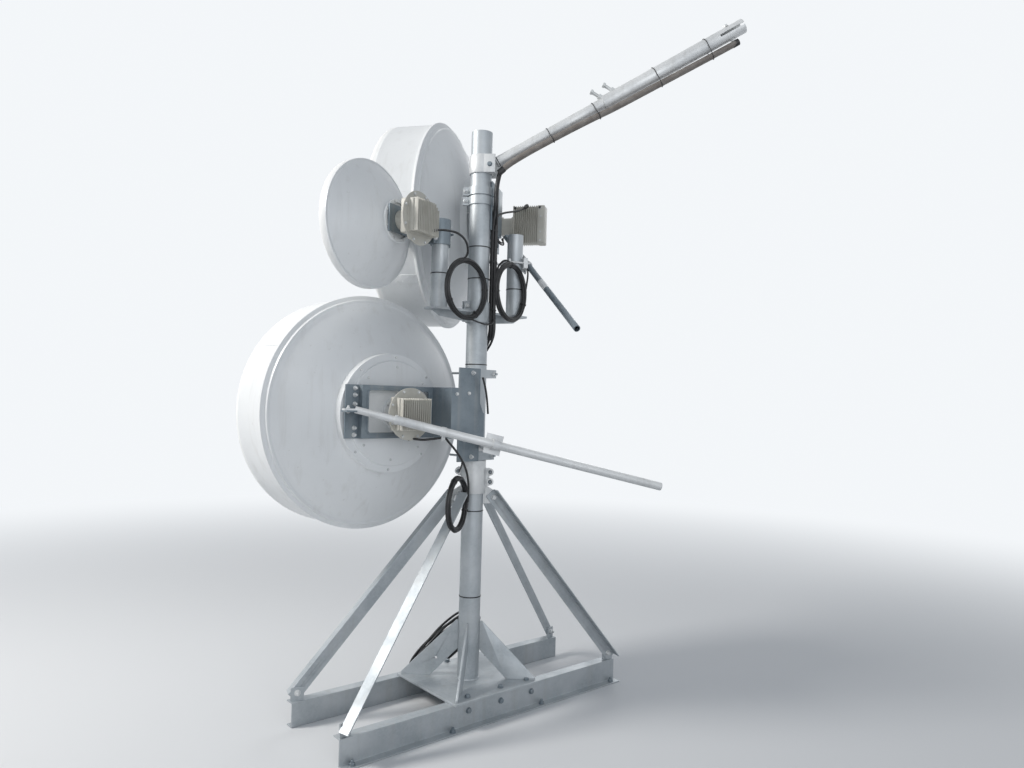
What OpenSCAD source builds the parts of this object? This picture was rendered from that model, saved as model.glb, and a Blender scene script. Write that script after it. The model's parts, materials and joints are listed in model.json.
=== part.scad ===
// Rooftop microwave antenna mast: a galvanised pipe on a two rail base frame,
// braced by four angles, with two shrouded drum antennas and one small dish.
// Origin on the mast axis at floor level, +X along the rails, +Z up. Millimetres.

/* [Base frame] */
// Length of each rail
rail_length = 1760; // [1500:10:2400]
// Height of a rail
rail_height = 120; // [90:5:160]
// Width of the flange along the top of a rail
rail_flange = 60; // [50:5:80]
// Width of the sole lip along the foot of a rail, from the middle of its web
rail_lip = 50; // [40:5:80]
// Plate thickness of the rails
rail_wall = 6; // [4:1:10]
// Distance between the middles of the two rail webs
rail_gap = 490; // [420:10:640]
// Diameter of the anchor holes
anchor_d = 18; // [14:1:24]
// Distance of the outer anchor holes from the rail ends
anchor_end = 50; // [35:5:120]
// Distance of the inner anchor holes from the middle of the rail
anchor_inner = 290; // [200:10:400]
// Distance of the anchor holes from the middle of the web, out on the sole lip
anchor_out = 27; // [24:1:40]
// Length of the base plate along the rails
plate_length = 550; // [480:10:640]
// Thickness of the base plate
plate_thick = 12; // [8:1:20]
// Height of the gussets over the base plate
gusset_height = 300; // [200:10:380]
// Thickness of the gussets
gusset_thick = 10; // [6:1:16]
// Height over the base plate at which a gusset first meets the mast
gusset_opening = 150; // [0:5:180]
// Distance from the mast axis at which a gusset first meets the base plate
gusset_clear = 205; // [150:5:240]
// Distance of a gusset's outer end from the plate's corner
gusset_inset = 25; // [10:1:40]
// Diameter of the hole in the rear left gusset
gusset_hole_d = 14; // [8:1:24]

/* [Mast] */
// Outside diameter of the mast pipe
mast_d = 114.3; // [89:0.1:140]
// Wall of the mast pipe
mast_wall = 6.3; // [4:0.1:10]
// Height of the mast top over the floor
mast_top = 3060; // [2950:10:3400]

/* [Braces] */
// Leg of the brace angles
brace_leg = 60; // [45:5:70]
// Thickness of the brace angles
brace_thick = 6; // [5:1:8]
// Height of the upper brace bolts over the floor
brace_top = 1085; // [900:5:1200]
// Width of the foot lugs on the rails
lug_width = 64; // [50:2:80]
// Thickness of the lugs that the braces bolt to
lug_thick = 8; // [6:1:12]

/* [Drum antennas] */
// Outside diameter of a drum at its rim band
drum_d = 1220; // [1100:10:1300]
// Depth of the reflector from hub face to rim
reflector_depth = 220; // [180:5:260]
// Depth of the shroud from rim to radome
shroud_depth = 260; // [180:10:340]
// Depth of the radome's skirt and crown
radome_depth = 60; // [40:5:90]
// Thickness of the drum shells
drum_wall = 4; // [3:0.5:6]
// Distance of a drum's axis from the mast axis, sideways
drum_offset = 455; // [430:5:520]
// Distance of a drum's hub face ahead of the mast axis
drum_reach = 105; // [95:5:160]
// Height of the lower drum's axis
lower_drum_z = 1533; // [1450:5:1600]
// Bearing of the lower drum, clockwise from +Y
lower_drum_az = -4.3; // [-12:0.1:6]
// Height of the upper drum's axis
upper_drum_z = 2655; // [2560:5:2700]
// Bearing of the upper drum, clockwise from +Y
upper_drum_az = -36.7; // [-44:0.1:-30]

/* [Small dish] */
// Outside diameter of the small dish
dish_d = 640; // [560:10:680]
// Depth of the small dish from hub face to rim
dish_depth = 170; // [150:5:230]
// Depth of the small dish's front skirt
dish_skirt = 45; // [30:5:80]
// Sideways distance of the small dish's axis from the left stub
dish_offset = 300; // [270:5:340]
// Distance of the small dish's hub face ahead of the left stub
dish_reach = 50; // [40:5:80]
// Height of the small dish's axis
dish_z = 2475; // [2430:5:2500]
// Bearing of the small dish, clockwise from +Y
dish_az = -20.4; // [-28:0.1:-12]

/* [Radios] */
// Width of the upper radio across its side fins
radio_w = 92; // [80:2:110]
// Depth of the upper radio along the beam
radio_l = 190; // [150:5:220]
// Height of the upper radio
radio_h = 225; // [200:5:260]
// Length of the upper radio's neck
upper_standoff = 190; // [150:5:220]
// Width of the two radios that have their fins at the rear
box_w = 180; // [150:5:200]
// Depth of their housing, without the fins
box_l = 55; // [45:1:80]
// Height of their housing
box_h = 165; // [140:5:190]
// Length of their rear fins
box_fin = 45; // [30:1:60]
// Distance of the lower radio behind the hub face
lower_standoff = 95; // [80:1:120]
// Distance of the dish's radio behind the hub face
dish_standoff = 90; // [70:1:120]

/* [Stubs and struts] */
// Distance of the stub pipes from the mast axis
stub_x = 255; // [220:5:300]
// Outside diameter of the stub pipes
stub_d = 88.9; // [60:0.1:90]
// Wall of the stub pipes
stub_wall = 4; // [3:0.5:6]
// Height of the cross arm's ledge over the floor
arm_z = 2087; // [2060:1:2110]
// Length of the stub pipes
stub_length = 455; // [440:5:480]
// Diameter of the sway struts
strut_d = 33.7; // [26:0.1:42]
// Wall of the sway struts
strut_wall = 3.2; // [2:0.1:5]
// Outside diameter of the long strut's outer tube
strut_outer_d = 42.4; // [38:0.1:60]

/* [Stay] */
// Height of the middle of the stay's clamp on the mast
stay_z = 2880; // [2870:5:2890]
// Drop of the stay's line where it meets the mast axis, below the clamp's middle
stay_drop = 29; // [10:1:40]
// Bearing of the stay, clockwise from +Y
stay_az = 135; // [125:1:145]
// Rise of the stay over the horizontal
stay_rise = 29.5; // [20:0.5:40]
// Diameter of the stay's inner tube
stay_d = 60.3; // [48:0.1:66]
// Diameter of the stay's sleeve tube
sleeve_d = 76.1; // [70:0.1:90]
// Distance from the mast axis to the sleeve's mouth
sleeve_start = 745; // [600:5:900]
// Distance from the mast axis to the stay's far bolt
stay_reach = 1500; // [1200:5:2000]
// Length of the sleeve past the far bolt
stay_tail = 80; // [50:5:120]
// Width of the slot in the sleeve's far end
stay_slot = 13; // [8:1:20]

/* [Hidden] */
$fn = 64;

galvanised = [0.66, 0.69, 0.71];
gunmetal = [0.42, 0.46, 0.49];
drum_white = [0.86, 0.88, 0.89];
radio_beige = [0.66, 0.63, 0.56];
cable_black = [0.07, 0.07, 0.08];
conduit_brown = [0.34, 0.31, 0.28];

web_y = rail_gap / 2;
plate_z = rail_height + plate_thick;
plate_width = rail_gap + 50;
anchor_y = web_y + anchor_out;

// Lugs stand on the top flanges, so both rows are shifted the same way
lug_x = rail_length / 2 - 35;
lug_shift = 17;
lug_hole_z = rail_height + 38;
lug_bolt_d = 16;

// A plate or rail section drawn in (y, z) and run along X
module along_x(length) {
    translate([-length / 2, 0, 0])
        rotate([90, 0, 90])
            linear_extrude(length)
                children();
}

// A hollow pipe standing on z = 0
module pipe(d, wall, h) {
    difference() {
        cylinder(d = d, h = h);
        translate([0, 0, -1])
            cylinder(d = d - 2 * wall, h = h + 2);
    }
}

// Turns children so that their +Y points along a bearing, clockwise from +Y
module bearing(az) {
    rotate([0, 0, -az])
        children();
}

// Foot of a brace: side x and y are -1 or 1
function foot_y(sy) = sy * web_y + lug_shift;
function foot_angle(sx, sy) = atan2(foot_y(sy), sx * lug_x);
function foot_r(sy) = norm([lug_x, foot_y(sy)]);

// Upright lug plate in a brace's plane, drawn in (r, z)
module lug(sx, sy) {
    rotate([0, 0, foot_angle(sx, sy)])
        translate([foot_r(sy), 0, rail_height])
            difference() {
                translate([-lug_width / 2, -lug_thick / 2, -0.5])
                    cube([lug_width, lug_thick, lug_width + 0.5]);
                translate([0, lug_thick, lug_hole_z - rail_height])
                    rotate([90, 0, 0])
                        cylinder(d = lug_bolt_d, h = 2 * lug_thick);
            }
}

// Folded rail: web, top flange toward +Y and a sole lip outward with its anchor holes
module rail(sy) {
    lip_end = sy * (web_y + rail_lip);
    lip_start = sy * (web_y - rail_wall / 2);
    difference() {
        along_x(rail_length)
            union() {
                translate([sy * web_y - rail_wall / 2, 0])
                    square([rail_wall, rail_height]);
                translate([sy * web_y - rail_wall / 2, rail_height - rail_wall])
                    square([rail_flange, rail_wall]);
                translate([min(lip_start, lip_end), 0])
                    square([abs(lip_end - lip_start), rail_wall]);
            }
        for (sx = [-1, 1], x = [rail_length / 2 - anchor_end, anchor_inner])
            translate([sx * x, sy * anchor_y, -1])
                cylinder(d = anchor_d, h = rail_wall + 2);
    }
    for (sx = [-1, 1])
        lug(sx, sy);
}

module front_rail() {
    color(galvanised)
        rail(-1);
}

module rear_rail() {
    color(galvanised)
        rail(1);
}

module base_plate() {
    color(galvanised)
        translate([-plate_length / 2, -plate_width / 2, rail_height])
            cube([plate_length, plate_width, plate_thick]);
}

// Four triangular webs from the mast to the corners of the plate, open at the mast's foot
gusset_hole_r = 174;
gusset_hole_z = 94;

module gussets() {
    diagonal = atan2(plate_width, plate_length);
    foot = norm([plate_length, plate_width]) / 2 - gusset_inset;
    nose = 12;
    color(galvanised)
        for (angle = [diagonal, 180 - diagonal, 180 + diagonal, -diagonal])
            rotate([0, 0, angle])
                translate([0, gusset_thick / 2, plate_z])
                    rotate([90, 0, 0])
                        linear_extrude(gusset_thick)
                            difference() {
                                polygon([[mast_d / 2, gusset_opening], [gusset_clear, 0], [foot, 0], [foot, nose],
                                         [mast_d / 2 + nose, gusset_height], [mast_d / 2, gusset_height]]);
                                if (angle == 180 - diagonal)
                                    translate([gusset_hole_r, gusset_hole_z])
                                        circle(d = gusset_hole_d);
                            }
}

cap_thick = 5;

module mast() {
    color(galvanised)
        translate([0, 0, plate_z])
            pipe(mast_d, mast_wall, mast_top - cap_thick - plate_z);
}

module mast_cap() {
    color(galvanised)
        translate([0, 0, mast_top - cap_thick])
            cylinder(d = mast_d, h = cap_thick);
}

// Sleeve on the mast with a lug for each brace
collar_bottom = brace_top + 28;
collar_height = 175;
collar_wall = 10;
collar_lug_r = mast_d / 2 + 62;

module brace_collar() {
    lug_low = brace_top - 32;
    lug_high = brace_top + 70;
    lug_out = collar_lug_r + 30;
    color(galvanised) {
        translate([0, 0, collar_bottom])
            pipe(mast_d + 2 * collar_wall, collar_wall, collar_height);
        for (sx = [-1, 1], sy = [-1, 1])
            rotate([0, 0, foot_angle(sx, sy)])
                difference() {
                    translate([0, lug_thick / 2, 0])
                        rotate([90, 0, 0])
                            linear_extrude(lug_thick)
                                polygon([[mast_d / 2 + 1, lug_low], [lug_out, lug_low],
                                         [lug_out, brace_top + 24], [mast_d / 2 + collar_wall, lug_high],
                                         [mast_d / 2 + 1, lug_high]]);
                    translate([collar_lug_r, lug_thick, brace_top])
                        rotate([90, 0, 0])
                            cylinder(d = lug_bolt_d, h = 2 * lug_thick);
                    translate([0, 0, lug_low - 1])
                        cylinder(d = mast_d, h = lug_high - lug_low + 2);
                }
    }
}

// Angle brace from a foot lug to the collar, on the outer face of both lugs
module brace(sx, sy) {
    rise = brace_top - lug_hole_z;
    run = foot_r(sy) - collar_lug_r;
    slope = atan2(rise, run);
    span = norm([rise, run]);
    over = 32;
    side = sx * sy;
    near = lug_thick / 2;
    color(galvanised)
        rotate([0, 0, foot_angle(sx, sy)])
            translate([foot_r(sy), 0, lug_hole_z])
                rotate([0, slope, 0])
                    scale_y(side)
                        difference() {
                            union() {
                                translate([-span - over, near, -brace_leg / 2])
                                    cube([span + 2 * over, brace_thick, brace_leg]);
                                translate([-span - over, near, brace_leg / 2 - brace_thick])
                                    cube([span + 2 * over, brace_leg, brace_thick]);
                            }
                            for (x = [0, -span])
                                translate([x, near - 1, 0])
                                    rotate([-90, 0, 0])
                                        cylinder(d = lug_bolt_d, h = brace_thick + 2);
                        }
}

module scale_y(side) {
    if (side > 0)
        children();
    else
        mirror([0, 1, 0])
            children();
}

module brace_front_left() { brace(-1, -1); }
module brace_front_right() { brace(1, -1); }
module brace_rear_left() { brace(-1, 1); }
module brace_rear_right() { brace(1, 1); }

// Puts a drum's hub face beside the mast: side is -1 left of the beam, 1 right of it
module at_drum(side, z, az) {
    translate([0, 0, z])
        bearing(az)
            translate([side * drum_offset, drum_reach, 0])
                children();
}

// Turns a shape made about +Z so that it points along +Y
module forward() {
    rotate([-90, 0, 0])
        children();
}

drum_r = drum_d / 2;
shroud_r = drum_r - 10;
hub_r = 265;
hub_ring_r = 305;
hub_ring_back = 16;
rim_band = 20;

// Depth of the reflector's back at radius r
function dish_back(r, depth, radius) = depth * pow(r / radius, 2);

// Reflector shell: raised hub disc, ring step, then a parabola out to the rim
module reflector_shell(side_wall) {
    steps = 8;
    outer = [for (i = [0 : steps])
             let (r = hub_ring_r + (shroud_r - hub_ring_r) * i / steps)
             [r, dish_back(r, reflector_depth, shroud_r)]];
    inner = [for (i = [steps : -1 : 0])
             let (r = hub_ring_r + (shroud_r - hub_ring_r) * i / steps)
             [r - side_wall * 0.4, dish_back(r, reflector_depth, shroud_r) + side_wall]];
    rotate_extrude()
        polygon(concat([[0, 0], [hub_r, 0], [hub_r, hub_ring_back], [hub_ring_r, hub_ring_back]],
                       outer, inner,
                       [[hub_ring_r - 2 * side_wall, hub_ring_back + side_wall],
                        [hub_r - side_wall, hub_ring_back + side_wall],
                        [hub_r - side_wall, side_wall], [0, side_wall]]));
    // Rolled rim that the shroud seats on
    translate([0, 0, reflector_depth - 2])
        difference() {
            cylinder(r = drum_r, h = rim_band);
            translate([0, 0, -1])
                cylinder(r = shroud_r - side_wall, h = rim_band + 2);
        }
}

module shroud_shell() {
    start = reflector_depth - 2 + rim_band;
    translate([0, 0, start])
        pipe(2 * shroud_r, drum_wall, shroud_depth - rim_band);
}

// Radome: skirt, rounded shoulder and a low crown
module radome_shell() {
    start = reflector_depth - 2 + shroud_depth;
    crown = 18;
    shoulder = 30;
    skirt = radome_depth - crown - shoulder;
    rotate_extrude()
        difference() {
            radome_outline(shroud_r, skirt, shoulder, crown, start);
            translate([0, -drum_wall])
                radome_outline(shroud_r - drum_wall, skirt, shoulder - drum_wall, crown, start);
            translate([-1, start - 20])
                square([shroud_r - drum_wall + 1, 20 + 0.01]);
        }
}

// Half outline of the radome, from its open edge to the crown
module radome_outline(r, skirt, shoulder, crown, start) {
    steps = 5;
    arc = [for (i = [0 : steps])
           let (a = 90 * i / steps)
           [r - shoulder + shoulder * cos(a), start + skirt + shoulder * sin(a)]];
    polygon(concat([[0, start], [r, start]], arc, [[0, start + skirt + shoulder + crown]]));
}

module drum_reflector(side, z, az) {
    color(drum_white)
        at_drum(side, z, az)
            forward()
                reflector_shell(drum_wall);
}

module drum_shroud(side, z, az) {
    color(drum_white)
        at_drum(side, z, az)
            forward()
                shroud_shell();
}

module drum_radome(side, z, az) {
    color(drum_white)
        at_drum(side, z, az)
            forward()
                radome_shell();
}

module lower_reflector() { drum_reflector(-1, lower_drum_z, lower_drum_az); }
module lower_shroud() { drum_shroud(-1, lower_drum_z, lower_drum_az); }
module lower_radome() { drum_radome(-1, lower_drum_z, lower_drum_az); }
module upper_reflector() { drum_reflector(1, upper_drum_z, upper_drum_az); }
module upper_shroud() { drum_shroud(1, upper_drum_z, upper_drum_az); }
module upper_radome() { drum_radome(1, upper_drum_z, upper_drum_az); }

// Folded bracket from the hub ring to a saddle behind the mast, seen in plan.
// Local frame of a drum whose mast lies toward +X, hub face at y = 0.
bracket_half = 131;
bracket_rise = 8;
bracket_thick = 8;
bracket_pan = 210;
bracket_flange = 80;
bracket_seat = 40;
bracket_back = 44;
saddle_gap = 2;
saddle_start = 240;
saddle_past = 8;
window_side = 27;
window_low = 29;
window_high = 26;
window_corner = 14;
window_rim = 9;
window_rim_depth = 5;

function saddle_y() = -drum_reach - mast_d / 2 - saddle_gap;

module bracket_plan() {
    pan = bracket_pan;
    t = bracket_thick;
    back = -bracket_back;
    saddle_end = drum_offset + saddle_past;
    seat = pan + t + bracket_seat;
    polygon([[-pan - bracket_flange, 0], [-pan - bracket_flange, -t], [-pan - t, -t], [-pan - t, back],
             [pan, back], [saddle_start - 6, saddle_y() - t], [saddle_end, saddle_y() - t],
             [saddle_end, saddle_y()], [saddle_start + 2, saddle_y()], [pan + t, back + t],
             [pan + t, -t], [seat, -t], [seat, 0], [pan, 0], [pan, back + t], [-pan, back + t], [-pan, 0]]);
}

// Plate in the XZ plane with round corners, drawn from its lower left corner
module round_plate(width, height, corner, thick) {
    rotate([90, 0, 0])
        linear_extrude(thick) {
            translate([corner, 0])
                square([width - 2 * corner, height]);
            translate([0, corner])
                square([width, height - 2 * corner]);
            for (x = [corner, width - corner], z = [corner, height - corner])
                translate([x, z])
                    circle(r = corner);
        }
}

// Pan with its window and raised rim, steep web and saddle
module bracket_body() {
    low = bracket_rise - bracket_half;
    width = 2 * (bracket_pan - window_side);
    height = 2 * bracket_half - window_low - window_high;
    difference() {
        union() {
            translate([0, 0, low])
                linear_extrude(2 * bracket_half)
                    bracket_plan();
            translate([-width / 2 - window_rim, 1 - bracket_back, low + window_low - window_rim])
                round_plate(width + 2 * window_rim, height + 2 * window_rim, window_corner + window_rim,
                            window_rim_depth + 1);
        }
        translate([-width / 2, bracket_thick - bracket_back + 1, low + window_low])
            round_plate(width, height, window_corner, bracket_thick + window_rim_depth + 2);
    }
}

// Tab in the saddle's plane for the rods of the two clamps
tab_start = 283;
tab_end = 430;
tab_margin = 25;

module clamp_tab() {
    tall = lower_clamp_gap + 2 * tab_margin;
    difference() {
        translate([tab_start, saddle_y() - bracket_thick, -tall / 2])
            cube([tab_end - tab_start, bracket_thick, tall]);
        for (side = [-1, 1])
            translate([drum_offset - rod_x, saddle_y() + 1, side * lower_clamp_gap / 2])
                rotate([90, 0, 0])
                    cylinder(d = rod_d + 2 * rod_clear, h = bracket_thick + 2);
    }
}

// Level lug behind the flange that the long strut's flat tongue bolts to
strut_lug_z = 15;

module strut_lug() {
    translate([0, 0, strut_lug_z - bracket_thick])
        linear_extrude(bracket_thick)
            difference() {
                polygon([[-290, -4], [-222, -4], [-288, -112], [-346, -112], [-346, -60]]);
                translate([-317, -78])
                    circle(d = tongue_hole_d);
            }
}

// The saddle's upper corner slopes down toward the mast
module saddle_corner() {
    top = bracket_rise + bracket_half + 1;
    translate([0, saddle_y() + 1, 0])
        rotate([90, 0, 0])
            linear_extrude(bracket_thick + 2)
                polygon([[392, top], [drum_offset, 10], [drum_offset + saddle_past + 1, 10],
                         [drum_offset + saddle_past + 1, top]]);
}

// Brings the mast to +X for a drum on either side
module mast_side(side) {
    if (side < 0)
        children();
    else
        mirror([1, 0, 0])
            children();
}

module lower_bracket() {
    color(gunmetal)
        at_drum(-1, lower_drum_z, lower_drum_az) {
            difference() {
                bracket_body();
                saddle_corner();
            }
            clamp_tab();
            strut_lug();
        }
}

module upper_bracket() {
    color(gunmetal)
        at_drum(1, upper_drum_z, upper_drum_az)
            mast_side(1)
                bracket_body();
}

// Two half shells round a pipe with ears on both sides, drawn together by bolts along Y
module pipe_clamp(d, h, wall, ear) {
    split = 8;
    difference() {
        union() {
            cylinder(d = d + 2 * wall, h = h);
            translate([-d / 2 - wall - ear, -wall - split / 2, 0])
                cube([d + 2 * wall + 2 * ear, 2 * wall + split, h]);
        }
        translate([0, 0, -1])
            cylinder(d = d, h = h + 2);
        translate([-d, -split / 2, -1])
            cube([2 * d, split, h + 2]);
    }
    for (sx = [-1, 1])
        translate([sx * (d / 2 + wall + ear / 2), 0, h / 2])
            rotate([90, 0, 0])
                cylinder(d = 12, h = 2 * wall + split + 44, center = true);
}

clamp_wall = 8;
clamp_ear = 30;
clamp_h = 44;
lower_clamp_gap = 440;
upper_clamp_low = 8;
upper_clamp_pitch = 52;
upper_clamp_az = 40;
rod_x = 80;
rod_d = 12;
rod_clear = 0.5;
rod_back = 82;
rod_front = 100;
block_half = 95;

// Bored block against the saddle, half shell beyond the mast, two long rods through both
module saddle_clamp(h) {
    split = 4;
    face = -mast_d / 2 - saddle_gap;
    difference() {
        union() {
            translate([-block_half, face, 0])
                cube([2 * block_half, -split - face, h]);
            difference() {
                cylinder(d = mast_d + 2 * clamp_wall, h = h);
                translate([-mast_d, split - 2 * mast_d, -1])
                    cube([2 * mast_d, 2 * mast_d, h + 2]);
            }
            translate([-block_half, split, 0])
                cube([2 * block_half, clamp_wall, h]);
        }
        translate([0, 0, -1])
            cylinder(d = mast_d, h = h + 2);
    }
    for (side = [-1, 1])
        translate([side * rod_x, -rod_back, h / 2])
            rotate([-90, 0, 0])
                cylinder(d = rod_d, h = rod_back + rod_front);
}

module lower_clamps() {
    color(galvanised)
        translate([0, 0, lower_drum_z])
            bearing(lower_drum_az)
                for (side = [-1, 1])
                    translate([0, 0, (side * lower_clamp_gap - clamp_h) / 2])
                        saddle_clamp(clamp_h);
}

module upper_clamps() {
    color(galvanised)
        translate([0, 0, upper_drum_z])
            bearing(upper_clamp_az)
                for (z = [upper_clamp_low, upper_clamp_low + upper_clamp_pitch])
                    translate([0, 0, z])
                        pipe_clamp(mast_d, clamp_h, clamp_wall, clamp_ear);
}

neck_d = 96;
neck_clear = 1;
side_fin_pitch = 12;
side_fin_thick = 4;
side_fin_depth = 16;
side_cover = 45;

// Upright radio on a long neck, hub face at y = 0: fins along both sides, smooth cover behind
module side_finned_radio(standoff) {
    finned = radio_l - side_cover;
    count = floor(finned / side_fin_pitch);
    rotate([90, 0, 0])
        cylinder(d = neck_d, h = standoff + 1);
    translate([side_fin_depth - radio_w / 2, -standoff - finned - 1, -radio_h / 2])
        cube([radio_w - 2 * side_fin_depth, finned + 1, radio_h]);
    translate([-radio_w / 2, -standoff - radio_l, -radio_h / 2])
        cube([radio_w, side_cover, radio_h]);
    for (i = [0 : count - 1])
        translate([-radio_w / 2, -standoff - side_fin_thick - i * side_fin_pitch, -radio_h / 2])
            cube([radio_w, side_fin_thick, radio_h]);
}

rear_fin_pitch = 13;
rear_fin_thick = 5;
radio_flange_r = 130;
radio_flange_at = 40;
radio_flange_thick = 6;

// Box radio on a round neck, hub face at y = 0: round flange about the housing, upright fins behind
module rear_finned_radio(standoff, corner) {
    count = floor((box_w - rear_fin_thick) / rear_fin_pitch);
    first = -count * rear_fin_pitch / 2 - rear_fin_thick / 2;
    depth = box_l + box_fin;
    rotate([90, 0, 0])
        cylinder(d = neck_d, h = standoff + 1);
    translate([0, -standoff - radio_flange_at, 0])
        rotate([90, 0, 0])
            cylinder(r = radio_flange_r, h = radio_flange_thick);
    difference() {
        union() {
            translate([-box_w / 2, -standoff - box_l, -box_h / 2])
                cube([box_w, box_l, box_h]);
            for (i = [0 : count])
                translate([first + i * rear_fin_pitch, -standoff - depth, -box_h / 2])
                    cube([rear_fin_thick, box_fin + 1, box_h]);
        }
        if (corner > 0)
            translate([0, -standoff - box_l + 10, 0])
                rotate([90, 0, 0])
                    linear_extrude(depth)
                        polygon([[box_w / 2 - corner, box_h / 2 + 1], [box_w / 2 + 1, box_h / 2 - corner],
                                 [box_w / 2 + 1, box_h / 2 + 1]]);
    }
}

dish_radio_corner = 34;

module lower_radio() {
    color(radio_beige)
        at_drum(-1, lower_drum_z, lower_drum_az)
            rear_finned_radio(lower_standoff, 0);
}

module upper_radio() {
    color(radio_beige)
        at_drum(1, upper_drum_z, upper_drum_az)
            side_finned_radio(upper_standoff);
}

// A tube between two points
module tube_between(a, b, d, wall) {
    v = b - a;
    length = norm(v);
    translate(a)
        rotate([0, acos(v[2] / length), atan2(v[1], v[0])])
            pipe(d, wall, length);
}

lower_strut_start = [-743, -43, 1552];
lower_strut_end = [687, -718, 1183];
upper_strut_start = [520, 470, 2700];
upper_strut_end = [80, -680, 1965];

tongue_long = 60;
tongue_in = 24;
tongue_wide = 40;
tongue_thick = 8;
tongue_hole_d = 14;
tongue_hole_at = 31;
strut_lip = 3;
strut_lip_long = 14;
strut_outer_at = 190;
strut_inside = 200;

// Long strut: inner tube with a flat tongue bolted to the lower bracket's lug, in an outer tube
module lower_strut() {
    v = lower_strut_end - lower_strut_start;
    color(galvanised) {
        at_strut(lower_strut_start, lower_strut_end, 0)
            difference() {
                union() {
                    cylinder(d = strut_d, h = strut_outer_at + 1);
                    translate([0, 0, strut_outer_at])
                        cylinder(d = strut_outer_d, h = norm(v) - strut_outer_at);
                    translate([0, 0, strut_outer_at])
                        cylinder(d = strut_outer_d + 2 * strut_lip, h = strut_lip_long);
                }
                translate([0, 0, -1])
                    cylinder(d = strut_d - 2 * strut_wall, h = norm(v) + 2);
                translate([0, 0, strut_outer_at + strut_inside])
                    cylinder(d = strut_d, h = norm(v));
            }
        translate(lower_strut_start)
            rotate([0, 0, atan2(v[1], v[0])])
                difference() {
                    translate([-tongue_long, -tongue_wide / 2, -tongue_thick / 2])
                        cube([tongue_long + tongue_in, tongue_wide, tongue_thick]);
                    translate([-tongue_hole_at, 0, -tongue_thick])
                        cylinder(d = tongue_hole_d, h = 2 * tongue_thick);
                    translate([-tongue_long - 1, 0, 0]) {
                        translate([0, tongue_wide / 2, 0])
                            rotate([0, 0, 45])
                                cube([16, 16, 3 * tongue_thick], center = true);
                        translate([0, -tongue_wide / 2, 0])
                            rotate([0, 0, 45])
                                cube([16, 16, 3 * tongue_thick], center = true);
                    }
                }
    }
}

module upper_strut() {
    color(gunmetal)
        tube_between(upper_strut_start, upper_strut_end, strut_d, strut_wall);
}

// Strut frame: origin on the strut, +Z along it, Y level and square to it
module at_strut(a, b, fraction) {
    v = b - a;
    translate(a + v * fraction)
        rotate([0, acos(v[2] / norm(v)), atan2(v[1], v[0])])
            children();
}

// Level distance of an upright pipe's axis from a strut, positive on the strut's +Y side
function pipe_offset(a, b, pipe_x) =
    let (v = [b[0] - a[0], b[1] - a[1]], p = [pipe_x - a[0], -a[1]])
    (v[0] * p[1] - v[1] * p[0]) / norm(v);

strut_plate_thick = 8;

// Plate that lies along a strut on the pipe's side, with a strap over the strut
module strut_plate(a, b, d, fraction, side, long, tall) {
    strap = 6;
    strap_w = 22;
    at_strut(a, b, fraction)
        difference() {
            union() {
                translate([-tall / 2, side > 0 ? d / 2 : -d / 2 - strut_plate_thick, -long / 2])
                    cube([tall, strut_plate_thick, long]);
                cylinder(d = d + 2 * strap, h = strap_w, center = true);
                translate([-d / 2 - strap, side > 0 ? 0 : -d / 2 - 1, -strap_w / 2])
                    cube([d + 2 * strap, d / 2 + 1, strap_w]);
            }
            cylinder(d = d, h = 2 * long, center = true);
        }
}

lower_plate_at = 0.43;
lower_plate_long = 86;
lower_plate_tall = 100;
band_z = 1375;
band_h = 70;
band_wall = 6;
arm_pipe_d = 48.3;
arm_pipe_wall = 4;
arm_pipe_shift = 36;

// Band round the mast with a level pipe to the plate that the strut is strapped to
module lower_strut_clamp() {
    dist = pipe_offset(lower_strut_start, lower_strut_end, 0);
    v = lower_strut_end - lower_strut_start;
    reach = dist - strut_outer_d / 2 - strut_plate_thick;
    color(galvanised) {
        strut_plate(lower_strut_start, lower_strut_end, strut_outer_d, lower_plate_at, 1,
                    lower_plate_long, lower_plate_tall);
        translate([0, 0, band_z])
            difference() {
                union() {
                    translate([0, 0, -band_h / 2])
                        cylinder(d = mast_d + 2 * band_wall, h = band_h);
                    rotate([0, 0, atan2(v[1], v[0])])
                        translate([arm_pipe_shift, -20, 0])
                            rotate([90, 0, 0])
                                pipe(arm_pipe_d, arm_pipe_wall, reach - 20 + 0.5);
                }
                translate([0, 0, -band_h])
                    cylinder(d = mast_d, h = 2 * band_h);
            }
    }
}

upper_plate_at = 0.433;
stub_rod_clear = 9;
stub_rod_out = 46;

// Saddle on the right stub, held by two rods that pass the stub to a bar behind it
module upper_strut_clamp() {
    fraction = upper_plate_at;
    half = stub_d / 2;
    rod_x = half + stub_rod_clear;
    rod_out = stub_rod_out;
    dist = -pipe_offset(upper_strut_start, upper_strut_end, stub_x);
    v = upper_strut_end - upper_strut_start;
    at = upper_strut_start + v * fraction;
    saddle_y = dist - strut_d / 2 - strut_plate_thick;
    color(galvanised) {
        strut_plate(upper_strut_start, upper_strut_end, strut_d, fraction, -1, 80, 80);
        translate([stub_x, 0, at[2]])
            rotate([0, 0, atan2(v[1], v[0])]) {
                difference() {
                    translate([-rod_x - 10, half - 14, -28])
                        cube([2 * rod_x + 20, saddle_y + 0.5 - half + 14, 56]);
                    translate([0, 0, -60])
                        cylinder(d = stub_d, h = 120);
                }
                for (side = [-1, 1])
                    translate([side * rod_x, -half - rod_out, 0])
                        rotate([-90, 0, 0])
                            cylinder(d = rod_d, h = saddle_y + half + rod_out + 16);
                translate([-rod_x - 10, -half - 12, -16])
                    cube([2 * rod_x + 20, 10, 32]);
            }
    }
}

module strut_clamps() {
    lower_strut_clamp();
    upper_strut_clamp();
}

dish_r = dish_d / 2;
dish_hub_r = 95;

module at_dish() {
    translate([-stub_x, 0, dish_z])
        bearing(dish_az)
            translate([-dish_offset, dish_reach, 0])
                children();
}

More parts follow.
